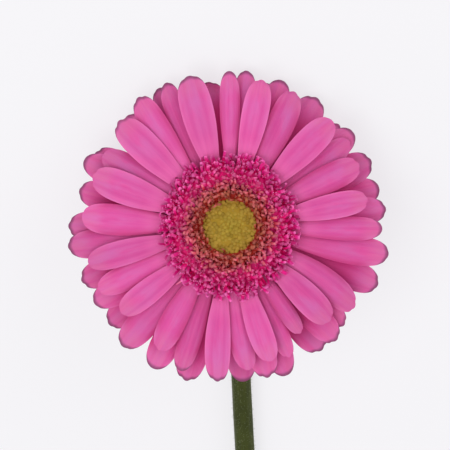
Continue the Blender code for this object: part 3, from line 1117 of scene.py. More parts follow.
@dataclass(frozen=True)
class PetalFinish(Finish):
    """Satin pink petals with fine veins, and a paler back.

    A name that ends in _at gives where a colour comes in and where it is full, along the
    blade unless the comment says otherwise. One that ends in _share gives how much shows.
    """

    light: Colour = (0.76, 0.094, 0.355)
    deep: Colour = (0.65, 0.060, 0.300)
    mauve: Colour = (0.66, 0.150, 0.440)
    # A paler pink, painted as a highlight along the edges and near the roots
    edge: Colour = (0.90, 0.210, 0.520)
    blush: Colour = (0.69, 0.148, 0.345)
    # A dark colour, painted as shade at the tips of the outermost petals
    tip: Colour = (0.20, 0.055, 0.130)
    back: Colour = (0.70, 0.24, 0.45)
    back_lines: Colour = (0.60, 0.13, 0.32)
    back_root: Colour = (0.52, 0.42, 0.28)
    shaded: Colour = (0.50, 0.010, 0.140)
    # Lines across the blade and breaks along it, of the clouds, bands and fine veins
    streaks: tuple[Pair, Pair, Pair] = ((1.3, 4.0), (3.5, 1.6), (15.0, 2.4))
    mauve_at: Pair = (0.3, 0.9)
    mauve_share: float = 0.8
    # Painted shade: the deep colour darkens the blade along the two grooves beside its midrib
    fold_width: float = 0.16
    fold_at: Pair = (0.1, 0.5)
    fold_share: float = 0.55
    blush_at: Pair = (0.8, 0.94)
    # Painted highlight: how much the paler edge colour shows towards the sides
    rim_share: float = 0.35
    # Towards the side edge, for the painted highlight along the edges
    hem_at: Pair = (0.84, 0.96)
    hem_end_at: Pair = (0.97, 0.9)
    hem_share: float = 0.15
    # Painted light near the roots, where the crown shades the petals
    root_light_at: Pair = (0.57, 0.43)
    root_light_share: float = 0.3
    # Reach from the axis, in millimetres
    outmost_at: Pair = (50.5, 53.0)
    # Painted shade at the tips of the outermost petals
    tip_at: Pair = (0.962, 0.992)
    tip_share: float = 0.85
    back_root_at: Pair = (0.35, 0.08)
    back_root_share: float = 0.7
    contrast: float = 0.16
    # The shadow: shares of the depth from the innermost tier to the outermost, and where a
    # blade comes out into the open
    low_depth: Pair = (0.3, 0.7)
    low_until: Pair = (0.96, 0.7)
    low_share: float = 0.85
    middle_depth: Pair = (0.25, 0.55)
    middle_share: float = 0.7
    root_until: Pair = (0.65, 0.45)
    root_share: float = 0.15
    covered_depth: Pair = (0.05, 0.25)
    covered_until: Pair = (0.98, 0.8)
    gully_side: Pair = (0.4, 1.0)
    gully_share: float = 0.75
    crown_until: Pair = (0.39, 0.29)

    def shadow(self, paint: Paint, along: Term, side: Term) -> Term:
        """How deep a place lies under other petals or the crown.

        Args:
            paint: The material's tree.
            along: The place along the blade.
            side: The distance from the blade's middle line.

        Returns:
            A mask from 0 in the open to 1 in the depth.
        """
        (depth,) = paint.marks("depth")
        near_root = paint.step(along, *self.root_until)
        low = paint.step(depth, *self.low_depth) * paint.step(along, *self.low_until)
        middle = paint.step(depth, *self.middle_depth) * near_root * self.middle_share
        low = paint.most(low * self.low_share, middle)
        covered = paint.step(depth, *self.covered_depth) * paint.step(along, *self.covered_until)
        covered = paint.most(covered, near_root * self.root_share)
        gully = paint.step(side, *self.gully_side) * covered * self.gully_share
        gully = paint.most(gully, paint.step(along, *self.crown_until))
        return paint.most(low, gully)

    def make(self) -> bpy.types.Material:
        """Builds the material.

        Returns:
            The material.
        """
        paint = Paint("petal_pink", roughness=0.55)
        along, across, tint, reach, under = paint.marks("along", "across", "tint", "reach", "under")
        blade = {"along": along, "across": across, "tint": tint}
        cloud, broad, fine = (
            paint.effect(ShaderGroup.STREAKS, **blade, lines=lines, breaks=breaks)
            for lines, breaks in self.streaks
        )
        side = paint.size(across)
        # Painted shade along the two grooves, in the deep colour
        _, fold_shade = side_veins(paint, across, tint, self.fold_width)
        # Painted highlight along the side edges, in the edge colour
        hem_highlight = paint.step(side, *self.hem_at) * paint.step(along, *self.hem_end_at)
        # Painted shade at the tips of the outermost petals, in the tip colour
        tip = paint.step(along, *self.tip_at) * paint.step(reach, *self.outmost_at)
        # Painted light near the roots, in the edge colour
        root_highlight = paint.step(along, *self.root_light_at)
        back = paint.mix(self.back_lines, self.back, broad * 0.5 + fine * 0.5)
        back_root = paint.step(along, *self.back_root_at) * self.back_root_share
        colour = paint.coat(
            paint.mix(self.deep, self.light, broad * 0.6 + fine * 0.25 + 0.15),
            (self.mauve, cloud * paint.step(along, *self.mauve_at) * self.mauve_share),
            (self.deep, fold_shade * paint.step(along, *self.fold_at) * self.fold_share),
            (self.blush, paint.step(along, *self.blush_at) * (broad * 0.4 + 0.25)),
            (self.edge, side**3.0 * self.rim_share + hem_highlight * self.hem_share),
            (self.edge, root_highlight * self.root_light_share),
            (self.shaded, self.shadow(paint, along, side)),
            (self.tip, tip * self.tip_share),
            (paint.mix(back, self.back_root, back_root), under),
        )
        colour = paint.effect(ShaderGroup.SHADE, colour=colour, tint=tint, amount=self.contrast)
        return paint.dress(
            Base_Color=colour,
            Normal=paint.bump(fine, strength=0.25, distance=0.0002),
            Sheen_Weight=0.04,
            Sheen_Roughness=0.5,
            Sheen_Tint=(1.0, 0.5, 0.8, 1.0),
            Specular_IOR_Level=0.2,
            Subsurface_Weight=0.06,
            Subsurface_Radius=(1.0, 0.2, 0.5),
            Subsurface_Scale=0.0006,
        )


@dataclass(frozen=True)
class FloretFinish(Finish):
    """Small florets, dark in the depth and light at their tips.

    Attributes:
        name: The material's name.
        deep: Colour in the depth, at a floret's root.
        inner: Colours of body and tip at the ring's inner edge.
        outer: Colours of body and tip at its outer edge.
        rise: Shares of the height between which a floret turns light.
        roughness: The shader's roughness.
        patches: Patches of uneven colour in a metre.
        unevenness: How far the patches shift where a floret turns light.
        contrast: How far one floret is lighter or darker than the next.
        body_at: Shares of the height between which the depth ends.
    """

    name: str
    deep: Colour
    inner: tuple[Colour, Colour]
    outer: tuple[Colour, Colour]
    rise: Pair = (0.35, 0.95)
    roughness: float = 0.5
    patches: float = 900.0
    unevenness: float = 0.25
    contrast: float = 0.5
    body_at: Pair = (0.0, 0.6)

    def make(self) -> bpy.types.Material:
        """Builds the material.

        Returns:
            The material.
        """
        paint = Paint(self.name, self.roughness)
        along, place, tint = paint.marks("along", "place", "tint")
        body, tip = (paint.mix(*ends, place) for ends in zip(self.inner, self.outer))
        uneven = paint.mottle(self.patches)
        height = along + (uneven - 0.5) * self.unevenness
        colour = paint.mix(self.deep, body, paint.step(height, *self.body_at))
        colour = paint.mix(colour, tip, paint.step(height, *self.rise))
        colour = paint.effect(ShaderGroup.SHADE, colour=colour, tint=tint, amount=self.contrast)
        return paint.dress(
            Base_Color=colour,
            Normal=paint.bump(uneven, strength=0.2, distance=0.0001),
            Specular_IOR_Level=0.15,
            Subsurface_Weight=0.05,
            Subsurface_Radius=(1.0, 0.2, 0.3),
            Subsurface_Scale=0.0003,
        )


@dataclass(frozen=True)
class GreenFinish(Finish):
    """Green skin with lengthwise lines, which turns another colour at one end.

    Attributes:
        name: The material's name.
        light: Colour between the lines.
        dark: Colour in the lines.
        end: Colour where the mark along nears end_at.
        end_at: Value of the mark where the end's colour starts, and where it is full.
        lines: Number of lines over the mark across.
        breaks: Number of breaks in the lines over the mark along.
        pith: Colour of a cut face.
        patches: Patches of uneven colour in a metre.
        grains: Grains in a metre.
        contrast: How far one bract is lighter or darker than the next.
    """

    name: str
    light: Colour
    dark: Colour
    end: Colour
    end_at: Pair
    lines: float
    breaks: float
    pith: Colour = (0.42, 0.45, 0.20)
    patches: float = 140.0
    grains: float = 2200.0
    contrast: float = 0.25

    def make(self) -> bpy.types.Material:
        """Builds the material.

        Returns:
            The material.
        """
        paint = Paint(self.name, roughness=0.6)
        along, across, tint, pith = paint.marks("along", "across", "tint", "pith")
        streak = paint.effect(
            ShaderGroup.STREAKS,
            along=along,
            across=across,
            tint=tint,
            lines=self.lines,
            breaks=self.breaks,
        )
        skin = streak * 0.55 + paint.mottle(self.patches) * 0.45
        colour = paint.mix(self.dark, self.light, skin)
        colour = paint.mix(colour, self.end, paint.step(along, *self.end_at))
        colour = paint.effect(ShaderGroup.SHADE, colour=colour, tint=tint, amount=self.contrast)
        relief = streak * 0.7 + paint.mottle(self.grains) * 0.3
        return paint.dress(
            Base_Color=paint.mix(colour, self.pith, pith),
            Normal=paint.bump(relief, strength=0.35, distance=0.00025),
            Sheen_Weight=0.04,
            Sheen_Roughness=0.6,
            Sheen_Tint=(0.85, 0.95, 0.6, 1.0),
            Specular_IOR_Level=0.15,
        )


@dataclass(frozen=True)
class HairFinish(Finish):
    """Fine pale hairs, a little greener at the root."""

    root: Colour = (0.20, 0.26, 0.10)
    tip: Colour = (0.40, 0.45, 0.26)
    patches: float = 500.0

    def make(self) -> bpy.types.Material:
        """Builds the material.

        Returns:
            The material.
        """
        paint = Paint("downy_hair", roughness=0.6)
        (along,) = paint.marks("along")
        share = along * 0.8 + paint.mottle(self.patches) * 0.2
        return paint.dress(Base_Color=paint.mix(self.root, self.tip, share), Sheen_Weight=0.2)


@dataclass(frozen=True)
class FloorFinish(Finish):
    """A plain pale table that glows a little, so that it stays even."""

    colour: Colour = (0.25, 0.249, 0.254)
    darker: float = 0.99
    patches: float = 6.0
    glow: Colour = (0.92, 0.91, 0.935)
    strength: float = 0.738

    def make(self) -> bpy.types.Material:
        """Builds the material.

        Returns:
            The material.
        """
        paint = Paint("pale_table", roughness=0.9)
        dark = tuple(self.darker * value for value in self.colour)
        return paint.dress(
            Base_Color=paint.mix(dark, self.colour, paint.mottle(self.patches)),
            Specular_IOR_Level=0.1,
            Emission_Color=(*self.glow, 1.0),
            Emission_Strength=self.strength,
        )


# Pieces of the flower


def finish_piece(
    obj: bpy.types.Object, material: bpy.types.Material, node: str | None = None
) -> bpy.types.Object:
    """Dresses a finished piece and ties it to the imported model.

    Args:
        obj: The piece, with its place in its mesh.
        material: Its material.
        node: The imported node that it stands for.

    Returns:
        The piece.
    """
    obj.data.materials.clear()
    obj.data.materials.append(material)
    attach(obj, BODY)
    if node:
        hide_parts(node)
    obj.data.calc_loop_triangles()
    log.info("%s: %d triangles", obj.name, len(obj.data.loop_triangles))
    return obj


def shape_box(name: str, shapes: Sequence[Shape]) -> bpy.types.Collection:
    """Puts small shapes in a collection for a node tree to draw from.

    Args:
        name: The collection's name.
        shapes: The shapes.

    Returns:
        The collection.
    """
    box = bpy.data.collections.new(name)
    bpy.context.scene.collection.children.link(box)
    for i, shape in enumerate(shapes):
        obj = shape.make_object(f"{name}_{i}")
        bpy.context.scene.collection.objects.unlink(obj)
        box.objects.link(obj)
    return box


def clear_box(box: bpy.types.Collection) -> None:
    """Removes a collection with all that it holds.

    Args:
        box: The collection.
    """
    for obj in list(box.objects):
        bpy.data.objects.remove(obj)
    bpy.data.collections.remove(box)


@dataclass(frozen=True)
class Petal:
    """One petal: where it is attached, how its blade is curved and how low it may lie."""

    angle: float
    root_z: float
    reach: float
    width: float
    root_slope: float
    tip_slope: float
    bend: float
    roll: float
    notch: float
    level: float
    tint: float
    depth: float


# Every petal: direction of its root in degrees, how many degrees its tip leans off it, reach
# from the axis and width. Each row of tiers lists those that grow at one height, from the
# innermost row to the outermost.
TIERS = (
    (
        (11.0, 0.0, 48.0, 8.8), (47.0, -0.5, 50.3, 10.2), (76.5, 1.0, 51.2, 9.2),
        (106.3, -1.0, 53.2, 11.2), (137.5, -1.0, 52.3, 10.8), (160.8, -1.0, 49.8, 10.9),
        (193.0, 1.0, 49.8, 8.8), (219.0, -0.2, 47.3, 8.7), (262.0, 3.5, 53.0, 8.8),
        (284.0, 3.5, 48.0, 8.6), (318.8, -2.4, 47.0, 9.9),
    ),
    (
        (26.2, -0.5, 49.2, 9.6), (61.8, 2.8, 51.2, 9.6), (89.3, 0.7, 53.2, 7.0),
        (129.0, -3.8, 54.1, 9.5), (150.0, 0.0, 49.8, 9.5), (177.6, -1.5, 50.6, 10.7),
        (206.7, -0.5, 49.8, 8.8), (237.3, 3.3, 48.6, 8.9), (272.4, 4.5, 49.4, 8.2),
        (303.9, 0.0, 43.9, 6.0), (334.6, -7.0, 50.6, 10.0), (359.0, 0.0, 52.3, 8.2),
    ),
    (
        (33.3, 2.3, 50.6, 8.4), (82.6, 1.0, 53.9, 8.0), (117.0, -3.0, 53.9, 7.5),
        (188.0, -0.4, 55.9, 10.2), (228.8, -0.4, 55.3, 10.6), (249.8, 1.0, 52.4, 7.8),
        (295.2, -0.3, 49.4, 6.6), (348.2, 2.0, 55.4, 10.2),
    ),
    (
        (6.6, 0.0, 54.4, 10.0), (38.0, -0.5, 53.6, 10.5), (69.6, 0.0, 53.6, 10.0),
        (154.8, 0.0, 55.1, 10.0), (179.3, 0.0, 55.6, 10.6), (210.0, 0.0, 53.7, 10.0),
        (241.6, 0.0, 55.6, 10.4), (284.8, 0.0, 53.8, 10.0), (313.8, 0.0, 53.9, 10.0),
        (339.2, -0.8, 55.1, 10.8),
    ),
    (
        (25.2, 0.0, 54.2, 11.5), (55.3, 0.0, 53.9, 12.0), (119.5, -2.2, 53.8, 9.0),
        (166.8, 0.0, 53.6, 10.4), (199.6, 0.0, 54.6, 10.5), (253.6, 0.0, 55.6, 10.6),
        (291.2, 0.0, 55.2, 10.2), (319.5, 0.0, 52.4, 9.0),
    ),
    (
        (14.0, 0.0, 53.8, 10.5), (43.0, 0.0, 52.0, 10.0), (76.0, 0.0, 53.5, 10.5),
        (98.8, 0.0, 52.4, 10.5), (132.5, 0.0, 52.4, 10.0), (151.0, 0.0, 53.3, 10.0),
        (218.8, 0.0, 54.0, 10.5), (275.0, 0.0, 54.2, 10.5), (306.0, 0.0, 53.8, 11.5),
    ),
)


@dataclass
class Petals:
    """The long pink petals in six tiers, on the hub that carries them.

    Pairs give a value for the innermost tier and for the outermost. A name that ends in
    _play gives how far single petals differ from the rule, in degrees for the slopes and
    the roll.
    """

    tiers: Sequence[Sequence[tuple[float, float, float, float]]] = TIERS
    seed: int = 38
    tint_seed: int = 11
    root_radius: float = 7.5
    root_z: Pair = (1.8, -2.8)
    root_slope: Pair = (math.radians(13.0), math.radians(2.0))
    tip_slope: Pair = (math.radians(-3.0), math.radians(-22.0))
    root_slope_play: float = 0.5
    tip_slope_play: float = 2.5
    bend_play: float = 0.012
    roll_play: float = 6.0
    deepest_notch: float = 0.015
    stack_step: float = 0.85
    camber: float = 0.16
    widest: float = 0.76
    claw: float = 0.2
    tip_width: float = 0.78
    tip_round: float = 0.065
    thickness: float = 0.36
    groove: float = 0.13
    wave: float = 0.14
    rows: int = 24
    columns: int = 23
    crowding: Pair = (1.5, 0.25)
    hub: tuple[Pair, ...] = (
        (0, -3.6), (9.3, -3.6), (10.5, -2.4), (10.5, 2.0), (9.5, 3.0), (0, 3.0),
    )
    sharp: float = 60.0

    def petals(self) -> list[Petal]:
        """Every petal of every tier, with small seeded differences in how it curves.

        Returns:
            The petals, from the innermost tier to the outermost.
        """
        draw, tints = random.Random(self.seed), random.Random(self.tint_seed)

        def play(most: float) -> float:
            """A seeded value of at most this on either side of 0."""
            return draw.uniform(-most, most)

        found = []
        last = len(self.tiers) - 1
        for tier, row in enumerate(self.tiers):
            depth = tier / last
            root_slope, tip_slope = lerp(self.root_slope, depth), lerp(self.tip_slope, depth)
            for direction, lean, reach, width in row:
                chord = reach - self.root_radius
                petal = Petal(
                    angle=math.radians(direction),
                    root_z=lerp(self.root_z, depth),
                    reach=reach,
                    width=width,
                    root_slope=root_slope + math.radians(play(self.root_slope_play)),
                    tip_slope=tip_slope + math.radians(play(self.tip_slope_play)),
                    bend=math.radians(lean) * reach / chord + play(self.bend_play),
                    roll=math.radians(play(self.roll_play)),
                    notch=draw.uniform(0.0, self.deepest_notch),
                    level=self.stack_step * (last - tier),
                    tint=tints.random(),
                    depth=depth,
                )
                found.append(petal)
        return found

    def blank(self) -> Shape:
        """A flat blade whose marks say which point of a petal each of its points is.

        Returns:
            The blade, with its rows crowded at the tip and its columns at the edges.
        """
        tip, edge = self.crowding
        alongs = [1 - (1 - i / (self.rows - 1)) ** tip for i in range(self.rows)]
        spots = [2 * j / (self.columns - 1) - 1 for j in range(self.columns)]
        acrosses = [s * (1 + edge - edge * s * s) for s in spots]
        flat = [[Vector((a, c, 0.0)) for c in acrosses] for a in alongs]
        shape = slab(flat, [[p.copy() for p in row] for row in flat])
        shape.marks["along"] = [p.x for p in shape.points]
        shape.marks["across"] = [p.y for p in shape.points]
        return shape

    def build(self) -> bpy.types.Object:
        """Builds and dresses the petals.

        Returns:
            The piece.
        """
        petals = self.petals()
        seeds = Shape([Vector((i, 0.0, 0.0)) for i in range(len(petals))])
        for item in fields(Petal):
            seeds.marks[item.name] = [getattr(petal, item.name) for petal in petals]
        material = PetalFinish().make()
        blank = self.blank().make_object("petal_blank", sharp=180.0)
        values = {**vars(self), "blank": blank, "lean": LIE.lean, "place": LIE.place}
        piece = PetalTree().apply(seeds.make_object("petals"), {**values, "finish": material})
        bpy.data.objects.remove(blank)
        piece.data.set_sharp_from_angle(angle=math.radians(self.sharp))
        self.add_hub(piece)
        return finish_piece(piece, material, "ray_florets")

    def add_hub(self, piece: bpy.types.Object) -> None:
        """Joins the hub to the petals.

        Args:
            piece: The petals.
        """
        hub = turned(self.hub).moved(LIE.matrix).make_object("hub")
        both = [piece, hub]
        with bpy.context.temp_override(
            active_object=piece, selected_editable_objects=both, selected_objects=both
        ):
            bpy.ops.object.join()


@dataclass
class SpiralRing:
    """A ring of small florets or bracts in a golden spiral, on a core turned round the axis.

    Pairs give a value at the ring's inner and at its outer edge, and angles are in degrees.
    The stretch is how much longer the ring is from the stem's side to the far rim than
    across.
    """

    name: str
    node: str
    shapes: Sequence[Shape]
    finish: Finish
    core: Sequence[Pair]
    count: int
    seed: int
    radius: Pair
    height: Pair
    lean: Pair
    size: Pair
    spread: float = 2.0
    radius_bulge: float = 0.0
    height_bulge: float = 0.0
    wander: float = 0.3
    lean_wander: float = 12.0
    size_wander: float = 0.15
    twist: float = 40.0
    stretch: float = 1.0

    def sizes(self) -> dict[str, Plug]:
        """The ring's sizes for its tree.

        Returns:
            Every field by its name, with pairs split into an inner and an outer value and
            angles in radians.
        """
        found = dict(vars(self))
        for name in ("radius", "height", "lean", "size"):
            found["inner_" + name], found["outer_" + name] = found[name]
        for name in ("inner_lean", "outer_lean", "lean_wander", "twist"):
            found[name] = math.radians(found[name])
        return found

    def build(self, tree: SpiralTree) -> bpy.types.Object:
        """Builds and dresses the ring.

        Args:
            tree: The tree that places the florets.

        Returns:
            The piece.
        """
        material = self.finish.make()
        box = shape_box(self.name + "_shape", self.shapes)
        core = turned(self.core).make_object(self.name)
        piece = tree.apply(core, {**self.sizes(), "shapes": box, "finish": material})
        clear_box(box)
        piece.data.transform(LIE.matrix @ Matrix.Diagonal((1.0, self.stretch, 1.0, 1.0)))
        return finish_piece(piece, material, self.node)


def curl(reach: float, droop: float, width: float) -> Shape:
    """A crown floret: a long outer lip that curls over, and two short inner horns.

    Args:
        reach: How far out the lip's tip comes.
        droop: How far the tip hangs below the lip's top.
        width: The lip's half width.

    Returns:
        The floret.
    """
    lip = [(0.0, 0.0), (0.1, 2.0), (0.3, 4.6), (reach, 4.9), (reach * 1.15, 4.2 - droop)]
    widths = (0.35, 0.5, width, width, 0.55 * width)
    shape = strap(lip, widths, gutter=0.45, thick=0.14, rows=7)
    path = [(0.0, 1.2), (-0.1, 2.8), (-0.5, 3.9), (-1.0, 3.3)]
    inner = horn(path, (0.2, 0.2, 0.12), (0.14, 0.12, 0.08), sides=3, rows=4)
    for side in (-0.28, 0.28):
        shape.add(inner.moved(Matrix.Translation((0.0, side, 0.0))))
    return shape


def open_floret(lobes: Sequence[float], column: float) -> Shape:
    """A disc floret: an open star with a slim column in it.

    Args:
        lobes: How far out each lobe reaches.
        column: How far the column stands over the mouth.

    Returns:
        The floret.
    """
    mouth, widths = 2.9, (0.13, 0.15, 0.1)
    path = [(0.0, 1.6), (0.05, 2.4), (0.1, mouth + column)]
    shape = star(lobes, tube=0.34, mouth=0.46, height=mouth)
    return shape.add(horn(path, widths, widths, sides=5, rows=4))


def head_rings() -> tuple[SpiralRing, SpiralRing, SpiralRing]:
    """The rings of small florets that fill the head inside its petals.

    Returns:
        The crown of short magenta florets, the open disc florets with salmon tips, and the
        closed buds in the middle.
    """
    crown = SpiralRing(
        name="crown_curls",
        node="crown_florets",
        shapes=(
            curl(1.9, 0.8, 0.50), curl(1.3, 0.3, 0.46), curl(2.3, 1.4, 0.54), curl(1.0, -0.2, 0.44),
        ),
        finish=FloretFinish(
            "crown_magenta",
            deep=(0.95, 0.003, 0.21),
            inner=((0.58, 0.009, 0.12), (0.68, 0.12, 0.23)),
            outer=((0.60, 0.006, 0.19), (1.0, 0.20, 0.59)),
            rise=(0.45, 1.0),
        ),
        core=(
            (9.0, 3.3), (9.8, 3.3), (18.5, 6.0), (19.2, 7.0), (17.0, 8.0), (13.7, 7.8), (12.9, 6.1),
        ),
        count=600,
        seed=21,
        radius=(13.3, 20.0),
        height=(6.2, 5.4),
        lean=(4.0, 60.0),
        size=(0.78, 1.06),
        wander=0.55,
        lean_wander=22.0,
        twist=95.0,
        stretch=1.055,
    )
    disc = SpiralRing(
        name="open_florets",
        node="disc_florets",
        shapes=(
            curl(2.0, 0.5, 0.46),
            curl(1.5, 0.1, 0.44),
            curl(2.4, 0.9, 0.48),
            open_floret((1.0, 0.8, 0.7, 0.75, 0.9), 0.5),
        ),
        finish=FloretFinish(
            "disc_salmon",
            deep=(0.48, 0.022, 0.014),
            inner=((0.36, 0.040, 0.018), (0.42, 0.115, 0.055)),
            outer=((0.56, 0.020, 0.07), (0.72, 0.145, 0.22)),
            rise=(0.35, 0.85),
        ),
        core=(
            (4.4, 3.3), (8.6, 3.3), (12.5, 6.1), (12.8, 8.2), (12.3, 8.6), (9.4, 7.6), (8.9, 6.6),
        ),
        count=400,
        seed=5,
        radius=(9.5, 14.2),
        height=(5.9, 6.8),
        lean=(-2.0, 16.0),
        size=(0.80, 0.86),
        spread=1.0,
        wander=0.45,
        lean_wander=16.0,
        twist=125.0,
    )
    buds = SpiralRing(
        name="closed_buds",
        node="disc_buds",
        shapes=(bud(0.94, 1.25, 0.1), bud(0.86, 1.15, 0.14), bud(0.9, 1.35, 0.08)),
        finish=FloretFinish(
            "bud_olive",
            deep=(0.42, 0.25, 0.022),
            inner=((0.29, 0.212, 0.016), (0.37, 0.252, 0.031)),
            outer=((0.31, 0.155, 0.018), (0.39, 0.235, 0.034)),
            rise=(0.3, 1.1),
            roughness=0.7,
            patches=480.0,
            unevenness=1.1,
            contrast=0.3,
        ),
        core=(
            (0, 3.3), (4.0, 3.3), (8.4, 6.6), (8.0, 7.15), (5.6, 7.6), (2.8, 7.65), (0, 7.65),
        ),
        count=180,
        seed=3,
        radius=(0.3, 9.2),
        height=(7.0, 6.2),
        lean=(0.0, 10.0),
        size=(0.9, 1.0),
        lean_wander=8.0,
        twist=180.0,
    )
    return crown, disc, buds


@dataclass
class RolledPetal:
    """A narrow petal that stayed rolled up, whose pale edge shows beside the crown.

    Attributes:
        root: Where it grows from the hub.
        direction: The way it runs.
        path: Bezier control points (distance along, height) over its root.
        widths: Half widths from root to tip.
        gutter: How far its edges rise, as a share of the half width.
        thickness: Its thickness.
        rows: Number of rows of points.
        body: Colour of its blade.
        rim: Colour of its outer half.
    """

    root: tuple[float, float, float] = (-2.3, -8.7, 1.7)
    direction: float = math.radians(215.0)
    path: tuple[Pair, ...] = ((0.0, 0.0), (6.0, 3.2), (13.0, 2.8), (19.4, 1.9))
    widths: tuple[float, ...] = (0.25, 0.35, 0.5, 0.62, 0.55, 0.1)
    gutter: float = 0.7
    thickness: float = 0.3
    rows: int = 16
    body: Colour = (0.80, 0.12, 0.34)
    rim: Colour = (0.92, 0.24, 0.42)

    def build(self) -> bpy.types.Object:
        """Builds and dresses the petal.

        Returns:
            The piece.
        """
        blade = strap(self.path, self.widths, self.gutter, self.thickness, self.rows)
        place = Matrix.Translation(self.root) @ Matrix.Rotation(self.direction, 4, "Z")
        finish = FloretFinish(
            "rolled_pink",
            deep=(0.66, 0.03, 0.24),
            inner=(self.body, self.rim),
            outer=(self.body, self.rim),
            rise=(0.5, 0.8),
            contrast=0.0,
        )
        piece = blade.moved(LIE.matrix @ place).make_object("rolled_petal")
        return finish_piece(piece, finish.make())


@dataclass
class Involucre:
    """The green cup under the head, with its overlapping bracts.

    Attributes:
        top: Height of the cup's upper rim.
        bottom: Height of its foot.
        radii: Radii of its foot and its rim.
        fullness: Power that makes its side rounder the smaller it is.
        steps: Number of steps in its side.
        path: Bezier control points (x, z) of a bract.
        bracts: Half widths and half thicknesses of a slim and a wide bract.
    """

    top: float = -3.9
    bottom: float = -14.0
    radii: Pair = (4.1, 10.9)
    fullness: float = 0.85
    steps: int = 16
    path: tuple[Pair, ...] = ((0.0, 0.0), (1.3, 2.6), (1.0, 5.0), (0.0, 7.4))
    bracts: tuple[tuple[tuple[float, ...], tuple[float, ...]], ...] = (
        ((1.0, 1.3, 1.2, 0.8, 0.2), (0.3, 0.32, 0.26, 0.2, 0.1)),
        ((1.1, 1.5, 1.3, 0.8, 0.18), (0.3, 0.34, 0.26, 0.2, 0.1)),
    )

    def cup_radius(self, z: float) -> float:
        """Radius of the cup at a height between its bottom and its top."""
        share = (z - self.bottom) / (self.top - self.bottom)
        return lerp(self.radii, math.sin(share * math.pi / 2) ** self.fullness)

    def build(self, tree: SpiralTree) -> bpy.types.Object:
        """Builds and dresses the cup.

        Args:
            tree: The tree that places the bracts.

        Returns:
            The piece.
        """
        walls = [lerp((self.bottom, self.top), i / self.steps) for i in range(self.steps + 1)]
        ring = SpiralRing(
            name="bract_cup",
            node="involucre",
            shapes=[horn(self.path, *sizes, sides=8, rows=9) for sizes in self.bracts],
            finish=GreenFinish(
                "bract_green",
                light=(0.15, 0.23, 0.065),
                dark=(0.075, 0.13, 0.035),
                end=(0.20, 0.09, 0.07),
                end_at=(0.72, 1.0),
                lines=4.0,
                breaks=2.0,
            ),
            core=[(0, self.bottom), *((self.cup_radius(z), z) for z in walls), (0, self.top)],
            count=64,
            seed=9,
            radius=(9.9, 5.0),
            height=(-6.3, -12.9),
            lean=(80.0, 50.0),
            size=(0.95, 0.85),
            spread=1.0,
            radius_bulge=0.7,
            wander=0.4,
            lean_wander=5.0,
            size_wander=0.1,
            twist=10.0,
        )
        return ring.build(tree)


